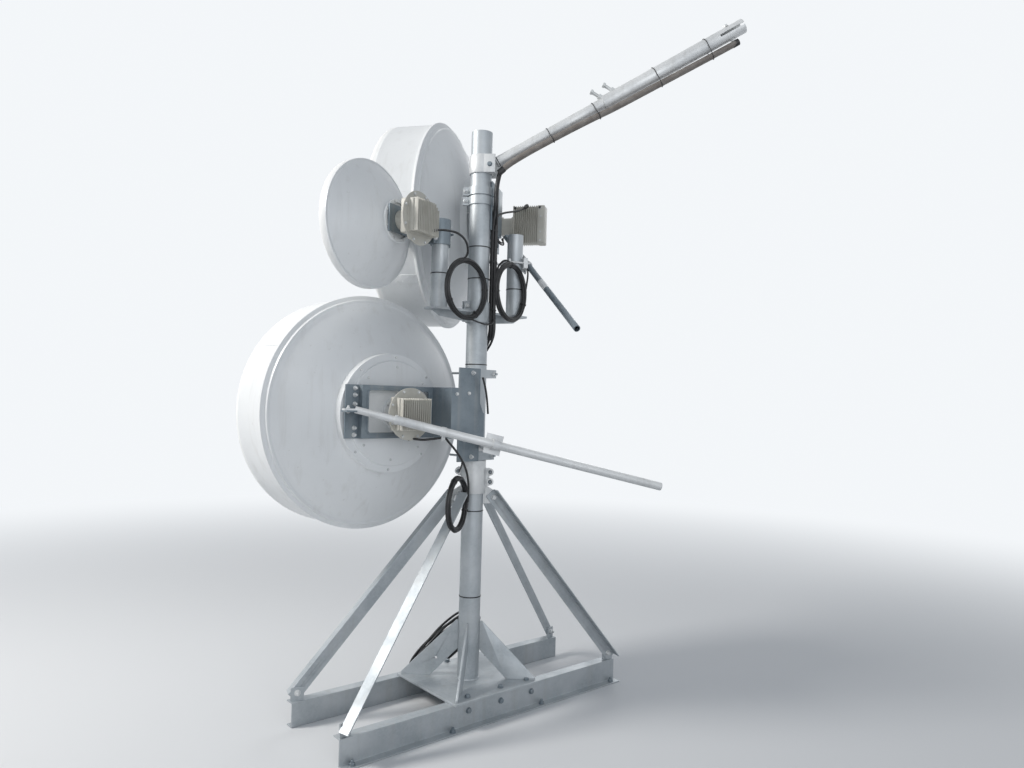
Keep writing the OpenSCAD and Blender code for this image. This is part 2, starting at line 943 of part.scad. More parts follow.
// Small reflector: flat hub, then a nearly straight cone to the rim
module dish_reflector() {
    wall = 3;
    color(drum_white)
        at_dish()
            forward()
                rotate_extrude()
                    polygon([[0, 0], [dish_hub_r, 0], [dish_hub_r + 6, 14], [dish_r * 0.62, dish_depth * 0.42],
                             [dish_r - 12, dish_depth - 6], [dish_r, dish_depth - 6], [dish_r, dish_depth],
                             [dish_r - 16, dish_depth], [dish_r * 0.62 - wall, dish_depth * 0.42 + wall],
                             [dish_hub_r, 14 + wall], [dish_hub_r - wall, wall], [0, wall]]);
}

module dish_radome() {
    wall = 3;
    crown = 10;
    color(drum_white)
        at_dish()
            forward()
                translate([0, 0, dish_depth])
                    rotate_extrude()
                        polygon([[dish_r, 0], [dish_r, dish_skirt - 14], [dish_r - 14, dish_skirt], [0, dish_skirt + crown],
                                 [0, dish_skirt + crown - wall], [dish_r - 14 - wall, dish_skirt - wall],
                                 [dish_r - wall, dish_skirt - 14 - wall], [dish_r - wall, 0]]);
}

// Arm from the small dish's hub to a clamp on the left stub
arm_back = 26;
arm_thick = 10;
arm_half = 66;
arm_left = 90;

module dish_bracket() {
    half = arm_half;
    color(gunmetal) {
        at_dish()
            difference() {
                translate([-arm_left, -arm_back, -half])
                    cube([dish_offset + arm_left - stub_d / 2 - clamp_wall, arm_thick, 2 * half]);
                translate([0, 1, 0])
                    rotate([90, 0, 0])
                        cylinder(d = neck_d + 2 * neck_clear, h = arm_back + 2);
            }
        at_dish()
            for (x = [-80, 60])
                translate([x, -arm_back + 1, -half])
                    cube([14, arm_back - 1, 2 * half]);
        translate([-stub_x, 0, dish_z - half])
            bearing(dish_az)
                pipe_clamp(stub_d, 2 * half, clamp_wall, 22);
    }
}

module dish_radio() {
    color(radio_beige)
        at_dish()
            rear_finned_radio(dish_standoff, dish_radio_corner);
}

// Cross arm: split clamp on the mast and a ledge with a web under it for each stub
module cross_arm() {
    ledge_thick = 12;
    ledge_out = stub_x + stub_d / 2 + 10;
    ledge_width = stub_d + 16;
    web_drop = 80;
    color(galvanised) {
        translate([0, 0, arm_z - 60])
            pipe_clamp(mast_d, 110, clamp_wall, clamp_ear);
        for (side = [-1, 1])
            scale_x(side) {
                difference() {
                    translate([mast_d / 2 + 4, -ledge_width / 2, arm_z - ledge_thick])
                        cube([ledge_out - mast_d / 2 - 4, ledge_width, ledge_thick]);
                    translate([0, 0, arm_z - 100])
                        cylinder(d = mast_d + 4, h = 200);
                }
                translate([0, 5, arm_z - ledge_thick + 0.5])
                    rotate([90, 0, 0])
                        linear_extrude(10)
                            polygon([[mast_d / 2 + 6, 0], [ledge_out - 10, 0], [ledge_out - 60, -30],
                                     [mast_d / 2 + 6, -web_drop + 32]]);
            }
    }
}

module scale_x(side) {
    if (side > 0)
        children();
    else
        mirror([1, 0, 0])
            children();
}

module stub(side) {
    color(galvanised)
        translate([side * stub_x, 0, arm_z])
            pipe(stub_d, stub_wall, stub_length);
}

module left_stub() { stub(-1); }
module right_stub() { stub(1); }

// Stay frame: origin on the mast axis, +X out along the rising stay
module at_stay() {
    translate([0, 0, stay_z - stay_drop])
        rotate([0, 0, 90 - stay_az])
            rotate([0, -stay_rise, 0])
                children();
}

stay_start = 96;
stay_overlap = 140;
stay_end_bolt = 16;
stay_slot_in = 60;

stay_clamp_h = 100;
stay_tongue_h = 88;
stay_tongue_thick = 12;

module stay_clamp() {
    color(galvanised)
        translate([0, 0, stay_z])
            rotate([0, 0, 90 - stay_az]) {
                translate([0, 0, -stay_clamp_h / 2])
                    rotate([0, 0, 90])
                        pipe_clamp(mast_d, stay_clamp_h, clamp_wall, clamp_ear);
                translate([mast_d / 2 + 3, -stay_tongue_thick / 2, -stay_tongue_h / 2])
                    cube([55, stay_tongue_thick, stay_tongue_h]);
            }
}

module stay_tube() {
    color(galvanised)
        at_stay()
            translate([stay_start, 0, 0])
                rotate([0, 90, 0])
                    pipe(stay_d, 3, sleeve_start + stay_overlap - stay_start);
}

module stay_sleeve() {
    color(galvanised)
        at_stay()
            difference() {
                translate([sleeve_start, 0, 0])
                    rotate([0, 90, 0])
                        pipe(sleeve_d, (sleeve_d - stay_d) / 2, stay_reach + stay_tail - sleeve_start);
                translate([stay_reach, 0, -sleeve_d])
                    cylinder(d = stay_end_bolt, h = 2 * sleeve_d);
                translate([stay_reach - stay_slot_in, -sleeve_d, -stay_slot / 2])
                    cube([stay_slot_in + stay_tail + 1, 2 * sleeve_d, stay_slot]);
            }
}

// Swept tube along points: rings of flat sides turned to follow the route.
// The size is one number or one for each point, and the reference is a
// direction that the route never runs along.
function size_at(d, i) = is_list(d) ? d[i] : d;
function unit(v) = v / norm(v);
function heading(p, i) = unit(p[min(i + 1, len(p) - 1)] - p[max(i - 1, 0)]);

module swept_tube(points, d, sides, reference) {
    rings = len(points);
    verts = [for (i = [0 : rings - 1])
             let (h = heading(points, i), u = unit(cross(h, reference)), w = cross(h, u))
             for (k = [0 : sides - 1])
             points[i] + size_at(d, i) / 2 * (cos(360 * k / sides) * u + sin(360 * k / sides) * w)];
    walls = [for (i = [0 : rings - 2], k = [0 : sides - 1])
             [i * sides + k, i * sides + (k + 1) % sides, (i + 1) * sides + (k + 1) % sides, (i + 1) * sides + k]];
    first = [for (k = [sides - 1 : -1 : 0]) k];
    last = [for (k = [0 : sides - 1]) (rings - 1) * sides + k];
    polyhedron(points = verts, faces = concat(walls, [first, last]), convexity = 6);
}

trunk_d = 42;
jumper_d = 12;

// Routes of the cables, chosen by hand
trunk_route = [[120, 180, 388], [84, 140, 428], [46, 98, 478], [22, 80, 560], [22, 79, 700], [22, 79, 900], [22, 79, 1100], [22, 79, 1300], [22, 79, 1500],
               [24, 79, 1700], [40, 74, 1790], [62, 56, 1840], [80, 24, 1890], [82, -12, 1940], [72, -38, 1990],
               [67, -42, 2060], [67, -42, 2160], [67, -42, 2260], [67, -42, 2360], [67, -42, 2460], [67, -42, 2560],
               [67, -42, 2660], [67, -46, 2740], [70, -62, 2795], [68, -86, 2836], [62, -112, 2864]];
trunk_thin = 24;
trunk_sizes = [for (p = trunk_route) p[2] < 1800 ? trunk_thin : p[2] < 2000 ? (trunk_thin + trunk_d) / 2 : trunk_d];
dish_jumper_route = [[-470, -206, 2416], [-440, -206, 2424], [-410, -203, 2432], [-380, -200, 2438], [-350, -200, 2440],
                     [-320, -200, 2440], [-290, -200, 2436], [-262, -198, 2428], [-240, -192, 2414], [-222, -182, 2396],
                     [-208, -168, 2376], [-196, -148, 2356], [-184, -128, 2342], [-168, -112, 2334]];
upper_jumper_route = [[410, 88, 2755], [390, 78, 2744], [360, 66, 2726], [330, 54, 2710], [300, 46, 2698], [270, 40, 2688],
                      [240, 36, 2680], [210, 30, 2670], [180, 22, 2660], [152, 12, 2648], [126, 0, 2632], [106, -12, 2612],
                      [90, -24, 2586], [80, -32, 2560]];
lower_jumper_route = [[-272, -110, 1418], [-258, -110, 1406], [-244, -111, 1392], [-224, -113, 1372], [-206, -116, 1352],
                      [-188, -120, 1328], [-170, -123, 1302], [-154, -124, 1276], [-140, -123, 1248], [-128, -120, 1218],
                      [-118, -114, 1188], [-110, -106, 1158], [-102, -96, 1128], [-95, -84, 1100]];

module cable_trunk() {
    color(cable_black)
        swept_tube(trunk_route, trunk_sizes, 10, [1, 0, 0]);
}

module dish_jumper() {
    color(cable_black)
        swept_tube(dish_jumper_route, jumper_d, 8, [0.3, 1, -0.6]);
}

module upper_jumper() {
    color(cable_black)
        swept_tube(upper_jumper_route, jumper_d, 8, [0, 1, 0]);
}

module lower_jumper() {
    color(cable_black)
        swept_tube(lower_jumper_route, jumper_d, 8, [0, 1, 0]);
}

// Conduit tied under the stay from the trunk's top to the far end, in the stay's frame
conduit_d = 36;
conduit_route = [[122, -38, -42], [220, -40, -44], [400, -36, -47], [600, -31, -51], [700, -28, -55], [760, -26, -58],
                 [1000, -18, -61], [1300, -8, -63], [1520, 0, -63]];

module stay_conduit() {
    color(conduit_brown)
        at_stay()
            swept_tube(conduit_route, conduit_d, 12, [0, 1, 0]);
}

// Coil of spare cable: its axis has the given bearing and rises by the tilt
module coil(at, az, mean_r, thick, tilt = 0) {
    color(cable_black)
        translate(at)
            bearing(az)
                rotate([tilt, 0, 0])
                    forward()
                        rotate_extrude()
                            translate([mean_r, 0])
                                circle(d = thick);
}

left_coil_at = [-155, -104, arm_z + 97];
left_coil_r = 147;
right_coil_at = [145, -103, arm_z + 114];
right_coil_r = 149;
lower_coil_at = [-184, -113, brace_top - 7];
lower_coil_r = 131;
base_coil_at = [82, 327, 203];
base_coil_r = 236;
coil_d = 32;

module left_coil() { coil(left_coil_at, -12, left_coil_r, coil_d); }
module right_coil() { coil(right_coil_at, -20, right_coil_r, coil_d); }
module lower_coil() { coil(lower_coil_at, -34, lower_coil_r, coil_d); }

// Leans behind the rear rail and hangs from the trunk's lower end
module base_coil() { coil(base_coil_at, -16.3, base_coil_r, coil_d, 39); }

front_rail();
rear_rail();
base_plate();
gussets();
mast();
mast_cap();
brace_collar();
brace_front_left();
brace_front_right();
brace_rear_left();
brace_rear_right();
lower_reflector();
lower_shroud();
lower_radome();
lower_bracket();
lower_clamps();
lower_radio();
lower_strut();
upper_strut();
strut_clamps();
upper_reflector();
upper_shroud();
upper_radome();
upper_bracket();
upper_clamps();
upper_radio();
dish_reflector();
dish_radome();
dish_bracket();
dish_radio();
cross_arm();
left_stub();
right_stub();
stay_clamp();
stay_tube();
stay_sleeve();
cable_trunk();
stay_conduit();
left_coil();
right_coil();
lower_coil();
base_coil();
dish_jumper();
upper_jumper();
lower_jumper();
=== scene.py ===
# Rooftop microwave antenna mast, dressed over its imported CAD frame.
# Metres, origin on the mast's axis at floor level, +X along the rails, +Z up.
import json
import math
import random

import bpy
from mathutils import Matrix, Vector


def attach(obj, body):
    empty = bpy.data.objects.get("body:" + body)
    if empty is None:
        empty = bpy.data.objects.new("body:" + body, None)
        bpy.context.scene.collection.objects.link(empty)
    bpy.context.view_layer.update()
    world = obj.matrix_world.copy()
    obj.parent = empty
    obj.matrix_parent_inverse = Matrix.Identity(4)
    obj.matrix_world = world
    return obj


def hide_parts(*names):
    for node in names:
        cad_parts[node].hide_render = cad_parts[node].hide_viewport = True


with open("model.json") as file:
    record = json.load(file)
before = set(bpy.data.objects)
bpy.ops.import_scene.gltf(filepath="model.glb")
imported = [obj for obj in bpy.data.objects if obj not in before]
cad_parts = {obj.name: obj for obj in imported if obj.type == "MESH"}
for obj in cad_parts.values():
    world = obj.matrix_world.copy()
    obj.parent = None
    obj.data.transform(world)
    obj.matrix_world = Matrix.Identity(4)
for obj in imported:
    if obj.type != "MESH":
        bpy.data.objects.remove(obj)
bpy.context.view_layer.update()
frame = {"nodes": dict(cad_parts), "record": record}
cadNodes = frame["nodes"]
scene = bpy.context.scene
scene.view_settings.view_transform = "Standard"
random.seed(7)
print("frame loaded with", len(cadNodes), "nodes")


# The camera stands where the photograph was taken from
viewSettings = {
    "place": (-2.4744, -3.2304, 1.6143),
    "bearing": 40.216,  # degrees from +Y toward +X
    "pitch": 1.243,
    "roll": 1.491,
    "lens": 26.492,
    "sensor": 36,
    "reach": 200,
}


def addCamera(settings):
    bearing, pitch, roll = [math.radians(settings[key]) for key in ("bearing", "pitch", "roll")]
    level = Vector((math.cos(bearing), -math.sin(bearing), 0))
    ahead = math.cos(pitch) * Vector((math.sin(bearing), math.cos(bearing), 0))
    ahead += Vector((0, 0, math.sin(pitch)))
    up = level.cross(ahead)
    right = math.cos(roll) * level + math.sin(roll) * up
    top = math.cos(roll) * up - math.sin(roll) * level
    camera = bpy.data.objects.new("camera", bpy.data.cameras.new("camera"))
    scene.collection.objects.link(camera)
    facing = Matrix((right, top, -ahead)).transposed().to_4x4()
    camera.matrix_world = Matrix.Translation(settings["place"]) @ facing
    camera.data.lens = settings["lens"]
    camera.data.sensor_width = settings["sensor"]
    camera.data.sensor_fit = "HORIZONTAL"
    camera.data.clip_end = settings["reach"]
    scene.camera = camera


addCamera(viewSettings)


# Soft light from the left, weaker ones from the front and the right, and an even sky
lampSettings = {
    "key": {"place": (-4.9, 2.3, 4.8), "target": (0, 0, 1.7), "size": 1.6, "power": 300,
            "colour": (1.0, 0.975, 0.94)},
    "fill": {"place": (-2.6, -6.4, 3.0), "target": (0, 0, 1.6), "size": 5.0, "power": 95,
             "colour": (0.93, 0.96, 1.0)},
    "rim": {"place": (5.0, 3.4, 4.2), "target": (0, 0, 1.8), "size": 3.0, "power": 60,
            "colour": (1.0, 1.0, 1.0)},
}
skySettings = {"light": (0.80, 0.86, 0.94), "level": 0.40, "backdrop": (0.90, 0.925, 0.95)}
floorSettings = {
    "colour": (0.70, 0.71, 0.72),
    "roughness": 0.9,
    "size": 160,
    "below": 0.0005,
    "fadeFrom": 2.2,  # beyond this distance the floor runs into the backdrop
    "fadeTo": 9.0,
}


def addLamp(name, lamp):
    light = bpy.data.lights.new(name, "AREA")
    light.shape = "DISK"
    light.size = lamp["size"]
    light.energy = lamp["power"]
    light.color = lamp["colour"]
    holder = bpy.data.objects.new(name, light)
    scene.collection.objects.link(holder)
    holder.location = lamp["place"]
    toTarget = Vector(lamp["target"]) - Vector(lamp["place"])
    holder.rotation_euler = toTarget.to_track_quat("-Z", "Y").to_euler()


def addNode(tree, kind, inputs=None, **settings):
    node = tree.nodes.new(kind)
    for key, value in settings.items():
        setattr(node, key, value)
    for key, value in (inputs or {}).items():
        if isinstance(value, bpy.types.NodeSocket):
            tree.links.new(value, node.inputs[key])
        else:
            node.inputs[key].default_value = value
    return node


def mathNode(tree, how, first, second):
    return addNode(tree, "ShaderNodeMath", {0: first, 1: second}, operation=how).outputs[0]


def seenRays(tree, *kinds):
    # 1 for the rays that show a surface to the camera, 0 for the rays that only light it
    rays = addNode(tree, "ShaderNodeLightPath")
    seen = rays.outputs["Is Camera Ray"]
    for kind in kinds:
        seen = mathNode(tree, "MAXIMUM", seen, rays.outputs[kind])
    return seen


def addWorld(settings):
    world = bpy.data.worlds.new("studio")
    scene.world = world
    world.use_nodes = True
    tree = world.node_tree
    tree.nodes.clear()
    seen = seenRays(tree, "Is Glossy Ray", "Is Transmission Ray")
    light = addNode(tree, "ShaderNodeBackground", {"Color": (*settings["light"], 1),
                                                   "Strength": settings["level"]})
    back = addNode(tree, "ShaderNodeBackground", {"Color": (*settings["backdrop"], 1), "Strength": 1.0})
    mixed = addNode(tree, "ShaderNodeMixShader", {0: seen, 1: light.outputs[0], 2: back.outputs[0]})
    addNode(tree, "ShaderNodeOutputWorld", {"Surface": mixed.outputs[0]})


def deselectAll():
    if bpy.context.object and bpy.context.object.mode != "OBJECT":
        bpy.ops.object.mode_set(mode="OBJECT")
    bpy.ops.object.select_all(action="DESELECT")


def addFloor(settings, backdrop):
    deselectAll()
    bpy.ops.mesh.primitive_plane_add(size=settings["size"], location=(0, 0, -settings["below"]))
    floor = bpy.context.object
    floor.name = "floor"
    material = bpy.data.materials.new("palefloor")
    material.use_nodes = True
    tree = material.node_tree
    shader = tree.nodes["Principled BSDF"]
    shader.inputs["Base Color"].default_value = (*settings["colour"], 1)
    shader.inputs["Roughness"].default_value = settings["roughness"]
    place = addNode(tree, "ShaderNodeTexCoord").outputs["Object"]
    away = addNode(tree, "ShaderNodeVectorMath", {0: place}, operation="LENGTH").outputs["Value"]
    fade = addNode(tree, "ShaderNodeMapRange", {"Value": away, "From Min": settings["fadeFrom"],
                                                "From Max": settings["fadeTo"]},
                   interpolation_type="SMOOTHSTEP").outputs[0]
    share = mathNode(tree, "MULTIPLY", seenRays(tree, "Is Glossy Ray"), fade)
    back = addNode(tree, "ShaderNodeEmission", {"Color": (*backdrop, 1), "Strength": 1.0})
    mixed = addNode(tree, "ShaderNodeMixShader", {0: share, 1: shader.outputs[0], 2: back.outputs[0]})
    tree.links.new(mixed.outputs[0], tree.nodes["Material Output"].inputs["Surface"])
    floor.data.materials.append(material)


for lampName, lampSetting in lampSettings.items():
    addLamp(lampName, lampSetting)
addWorld(skySettings)
addFloor(floorSettings, skySettings["backdrop"])
print("camera, lights and floor set")


# Finishes. All patterns read Object coordinates, which are the frame's metres.
def startFinish(name, metallic, roughness):
    material = bpy.data.materials.new(name)
    material.use_nodes = True
    tree = material.node_tree
    shader = tree.nodes["Principled BSDF"]
    shader.inputs["Metallic"].default_value = metallic
    shader.inputs["Roughness"].default_value = roughness
    place = addNode(tree, "ShaderNodeTexCoord").outputs["Object"]
    return material, tree, shader, place


def noise(tree, place, pattern):
    if "stretch" in pattern:
        mapping = addNode(tree, "ShaderNodeMapping", {"Vector": place, "Scale": pattern["stretch"]})
        place = mapping.outputs[0]
    node = addNode(tree, "ShaderNodeTexNoise", {"Vector": place, "Scale": pattern["scale"],
                                                "Detail": pattern["detail"], "Roughness": 0.55})
    return node.outputs["Fac"]


def patches(tree, place, pattern):
    # noise with its contrast raised, 0 below low and 1 above high
    value = noise(tree, place, pattern)
    return addNode(tree, "ShaderNodeMapRange", {"Value": value, "From Min": pattern["low"],
                                                "From Max": pattern["high"]}).outputs[0]


def span(tree, value, low, high):
    return addNode(tree, "ShaderNodeMapRange", {"Value": value, "To Min": low, "To Max": high}).outputs[0]


def shared(tree, value, share):
    return mathNode(tree, "MULTIPLY", value, share)


def blendColour(tree, share, first, second):
    node = addNode(tree, "ShaderNodeMix", data_type="RGBA", blend_type="MIX")
    for socket, value in ((node.inputs[0], share), (node.inputs[6], first), (node.inputs[7], second)):
        if isinstance(value, bpy.types.NodeSocket):
            tree.links.new(value, socket)
        else:
            socket.default_value = (*value, 1)
    return node.outputs[2]


def bumped(tree, shader, place, pattern):
    height = noise(tree, place, pattern)
    bump = addNode(tree, "ShaderNodeBump", {"Height": height, "Distance": pattern["height"],
                                            "Strength": pattern["strength"]})
    tree.links.new(bump.outputs[0], shader.inputs["Normal"])


# Hot dip galvanised steel: zinc crystals, run marks and a few rust specks
galvanisedLook = {
    "light": (0.50, 0.53, 0.55),
    "dark": (0.34, 0.375, 0.40),
    "stain": (0.36, 0.35, 0.33),
    "rust": (0.33, 0.19, 0.10),
    "metallic": 0.5,
    "roughness": (0.42, 0.60),
    "crystals": 95,
    "crystalShare": 0.35,
    "stainShare": 0.35,
    "rustShare": 0.55,
    "cloud": {"scale": 5.0, "detail": 6, "low": 0.32, "high": 0.68},
    "streak": {"scale": 1.0, "detail": 5, "low": 0.52, "high": 0.78, "stretch": (26, 26, 1.6)},
    "speck": {"scale": 60.0, "detail": 3, "low": 0.68, "high": 0.78},
    "patch": {"scale": 2.2, "detail": 3, "low": 0.52, "high": 0.70},
    "grain": {"scale": 140.0, "detail": 3, "height": 0.0006, "strength": 0.5},
}


def galvanisedFinish(name, look):
    smooth, rough = look["roughness"]
    material, tree, shader, place = startFinish(name, look["metallic"], smooth)
    cells = addNode(tree, "ShaderNodeTexVoronoi", {"Vector": place, "Scale": look["crystals"]})
    crystal = addNode(tree, "ShaderNodeSeparateColor", {0: cells.outputs["Color"]}).outputs[0]
    cloud = patches(tree, place, look["cloud"])
    streak = patches(tree, place, look["streak"])
    rusty = shared(tree, patches(tree, place, look["speck"]), patches(tree, place, look["patch"]))
    tone = blendColour(tree, cloud, look["dark"], look["light"])
    tone = blendColour(tree, span(tree, crystal, 0.0, look["crystalShare"]), tone, look["light"])
    tone = blendColour(tree, shared(tree, streak, look["stainShare"]), tone, look["stain"])
    tone = blendColour(tree, shared(tree, rusty, look["rustShare"]), tone, look["rust"])
    tree.links.new(tone, shader.inputs["Base Color"])
    tree.links.new(span(tree, cloud, rough, smooth), shader.inputs["Roughness"])
    bumped(tree, shader, place, look["grain"])
    return material


# Drum paint and radome skin: dull clouds, rain marks and dirt specks
paintLook = {
    "clean": (0.80, 0.815, 0.82),
    "dull": (0.70, 0.715, 0.72),
    "dirt": (0.42, 0.40, 0.36),
    "roughness": (0.29, 0.46),
    "dullShare": 0.5,
    "streakShare": 0.28,
    "speckShare": 0.22,
    "cloud": {"scale": 2.4, "detail": 5, "low": 0.35, "high": 0.70},
    "streak": {"scale": 1.0, "detail": 6, "low": 0.55, "high": 0.85, "stretch": (22, 22, 1.1)},
    "speck": {"scale": 48.0, "detail": 2, "low": 0.70, "high": 0.78},
    "wave": {"scale": 9.0, "detail": 2, "height": 0.002, "strength": 0.12},
}


def drumFinish(name, look):
    smooth, rough = look["roughness"]
    material, tree, shader, place = startFinish(name, 0.0, smooth)
    cloud = patches(tree, place, look["cloud"])
    streak = patches(tree, place, look["streak"])
    speck = patches(tree, place, look["speck"])
    tone = blendColour(tree, shared(tree, cloud, look["dullShare"]), look["clean"], look["dull"])
    tone = blendColour(tree, shared(tree, streak, look["streakShare"]), tone, look["dirt"])
    tone = blendColour(tree, shared(tree, speck, look["speckShare"]), tone, look["dirt"])
    tree.links.new(tone, shader.inputs["Base Color"])
    tree.links.new(span(tree, cloud, smooth, rough), shader.inputs["Roughness"])
    bumped(tree, shader, place, look["wave"])
    return material


# Cast radio housings, cable jackets and the conduit: one tone clouded by a second
castLook = {
    "clean": (0.56, 0.545, 0.49),
    "dirt": (0.30, 0.28, 0.23),
    "roughness": 0.5,
    "dirtShare": 0.35,
    "cloud": {"scale": 14.0, "detail": 5, "low": 0.40, "high": 0.75},
    "grain": {"scale": 420.0, "detail": 2, "height": 0.0004, "strength": 0.5},
}
jacketLook = {
    "clean": (0.012, 0.0125, 0.014),
    "dirt": (0.033, 0.033, 0.035),
    "roughness": 0.42,
    "dirtShare": 1.0,
    "cloud": {"scale": 30.0, "detail": 4, "low": 0.40, "high": 0.80},
    "grain": {"scale": 300.0, "detail": 2, "height": 0.0003, "strength": 0.3},
}


def cloudedFinish(name, look):
    material, tree, shader, place = startFinish(name, 0.0, look["roughness"])
    cloud = shared(tree, patches(tree, place, look["cloud"]), look["dirtShare"])
    tree.links.new(blendColour(tree, cloud, look["clean"], look["dirt"]), shader.inputs["Base Color"])
    bumped(tree, shader, place, look["grain"])
    return material


# A darker copy of the galvanised finish: the steel's own weathered tone, darkened further as painted shade
weatheredAndShadedLook = dict(galvanisedLook, light=(0.235, 0.275, 0.305), dark=(0.14, 0.175, 0.205), metallic=0.6)
# A lighter copy of the galvanised finish: painted sunlight and sheen for the parts that catch the sun
paintedSunlitLook = dict(galvanisedLook, light=(0.72, 0.73, 0.73), dark=(0.56, 0.575, 0.585), metallic=0.45)
zincLook = dict(galvanisedLook, light=(0.68, 0.69, 0.69), dark=(0.50, 0.52, 0.53), metallic=0.75)
conduitLook = dict(jacketLook, clean=(0.17, 0.15, 0.135), dirt=(0.27, 0.25, 0.23), roughness=0.55)
radomeLook = dict(paintLook, clean=(0.84, 0.845, 0.84), dull=(0.76, 0.765, 0.76), roughness=(0.37, 0.54))
finishes = {
    "galvanised_steel": galvanisedFinish("galvanisedSteel", galvanisedLook),
    "weathered_steel": galvanisedFinish("weatheredSteel", weatheredAndShadedLook),
    "drum_paint": drumFinish("drumPaint", paintLook),
    "radome": drumFinish("radomeSkin", radomeLook),
    "radio_paint": cloudedFinish("radioPaint", castLook),
    "cable_jacket": cloudedFinish("cableJacket", jacketLook),
    "conduit_jacket": cloudedFinish("conduitJacket", conduitLook),
    "bright": galvanisedFinish("brightSteel", paintedSunlitLook),
    "zinc": galvanisedFinish("zincPlated", zincLook),
}
# These parts take the lighter copy of the galvanised finish as painted sunlight
paintedSunlitNodes = ("brace_collar", "lower_strut", "strut_clamps", "stay_tube", "stay_sleeve")

for row in frame["record"]["subparts"]:
    node = cadNodes[row["node"]]
    node.data.materials.clear()
    node.data.materials.append(finishes[row["material_slot"]])
for nodeName in paintedSunlitNodes:
    cadNodes[nodeName].data.materials[0] = finishes["bright"]
print("finishes put on the frame")


# Modelling helpers
def activate(piece):
    deselectAll()
    piece.select_set(True)
    bpy.context.view_layer.objects.active = piece


def settle(piece, place):
    # puts the piece's place into its mesh, so that the object stays at the origin
    activate(piece)
    bpy.ops.object.transform_apply(location=True, rotation=True, scale=True)
    piece.matrix_world = place
    bpy.context.view_layer.update()
    bpy.ops.object.transform_apply(location=True, rotation=True, scale=True)


def faceOutwards(piece):
    activate(piece)
    bpy.ops.object.mode_set(mode="EDIT")
    bpy.ops.mesh.select_all(action="SELECT")
    bpy.ops.mesh.normals_make_consistent(inside=False)
    bpy.ops.object.mode_set(mode="OBJECT")


def joined(name, pieces):
    deselectAll()
    for piece in pieces:
        piece.select_set(True)
    bpy.context.view_layer.objects.active = pieces[0]
    if len(pieces) > 1:
        bpy.ops.object.join()
    pieces[0].name = name
    return pieces[0]


def finishPiece(piece, slotName, finish=None, nodes=(), degrees=35):
    # edges sharper than the angle stay sharp
    activate(piece)
    bpy.ops.object.shade_smooth_by_angle(angle=math.radians(degrees))
    piece.data.materials.clear()
    piece.data.materials.append(finishes[finish or slotName])
    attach(piece, "root")
    if nodes:
        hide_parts(*nodes)


def turned(name, profile, place=Matrix(), sides=64, ring=False):
    # a circle extruded and resized from row to row of (radius, height), closed by caps or into a ring
    radius, height = profile[0]
    deselectAll()
    bpy.ops.mesh.primitive_circle_add(vertices=sides, radius=radius, location=(0, 0, height))
    piece = bpy.context.object
    piece.name = name
    bpy.ops.object.transform_apply(location=True, rotation=False, scale=False)
    bpy.ops.object.mode_set(mode="EDIT")
    bpy.ops.mesh.select_all(action="SELECT")
    for nextRadius, nextHeight in profile[1:]:
        bpy.ops.mesh.extrude_region_move(TRANSFORM_OT_translate={"value": (0, 0, nextHeight - height)})
        share = nextRadius / radius
        bpy.ops.transform.resize(value=(share, share, 1), center_override=(0, 0, nextHeight))
        radius, height = nextRadius, nextHeight
    if ring:
        bpy.ops.mesh.select_all(action="DESELECT")
        bpy.ops.mesh.select_non_manifold()
        bpy.ops.mesh.bridge_edge_loops()
    else:
        bpy.ops.mesh.edge_face_add()
        bpy.ops.mesh.select_all(action="DESELECT")
        bpy.ops.mesh.select_non_manifold()
        bpy.ops.mesh.edge_face_add()
    bpy.ops.object.mode_set(mode="OBJECT")
    settle(piece, place)
    faceOutwards(piece)
    return piece


def block(name, low, high, place=Matrix(), bevel=0.0015, segments=2):
    # a cube between two corners with its edges broken
    middle = [(a + b) / 2 for a, b in zip(low, high)]
    size = [b - a for a, b in zip(low, high)]
    deselectAll()
    bpy.ops.mesh.primitive_cube_add(size=1, location=middle, scale=size)
    piece = bpy.context.object
    piece.name = name
    bpy.ops.object.transform_apply(location=True, rotation=True, scale=True)
    bpy.ops.object.mode_set(mode="EDIT")
    bpy.ops.mesh.select_all(action="SELECT")
    bpy.ops.mesh.bevel(offset=bevel, segments=segments, affect="EDGES")
    bpy.ops.object.mode_set(mode="OBJECT")
    settle(piece, place)
    faceOutwards(piece)
    return piece


def tube(name, points, radius, place=Matrix(), closed=False, sides=3, steps=6):
    # a round cable through the points
    curve = bpy.data.curves.new(name, "CURVE")
    curve.dimensions = "3D"
    curve.resolution_u = steps
    curve.bevel_depth = radius
    curve.bevel_resolution = sides
    curve.use_fill_caps = not closed
    spline = curve.splines.new("BEZIER")
    spline.bezier_points.add(len(points) - 1)
    for knot, point in zip(spline.bezier_points, points):
        knot.co = point
        knot.handle_left_type = "AUTO"
        knot.handle_right_type = "AUTO"
    spline.use_cyclic_u = closed
    piece = bpy.data.objects.new(name, curve)
    scene.collection.objects.link(piece)
    activate(piece)
    bpy.ops.object.convert(target="MESH")
    piece = bpy.context.object
    bpy.ops.object.mode_set(mode="EDIT")
    bpy.ops.mesh.select_all(action="SELECT")
    bpy.ops.mesh.remove_doubles(threshold=0.00001)
    bpy.ops.object.mode_set(mode="OBJECT")
    settle(piece, place)
    faceOutwards(piece)
    return piece


def copied(piece, place):
    twin = piece.copy()
    twin.data = piece.data.copy()
    scene.collection.objects.link(twin)
    settle(twin, place)
    return twin


def shift(x, y, z):
    return Matrix.Translation((x, y, z))


def turn(degrees, axis="Z"):
    return Matrix.Rotation(math.radians(degrees), 4, axis)


def towards(axis):
    return Vector(axis).to_track_quat("Z", "Y").to_matrix().to_4x4()


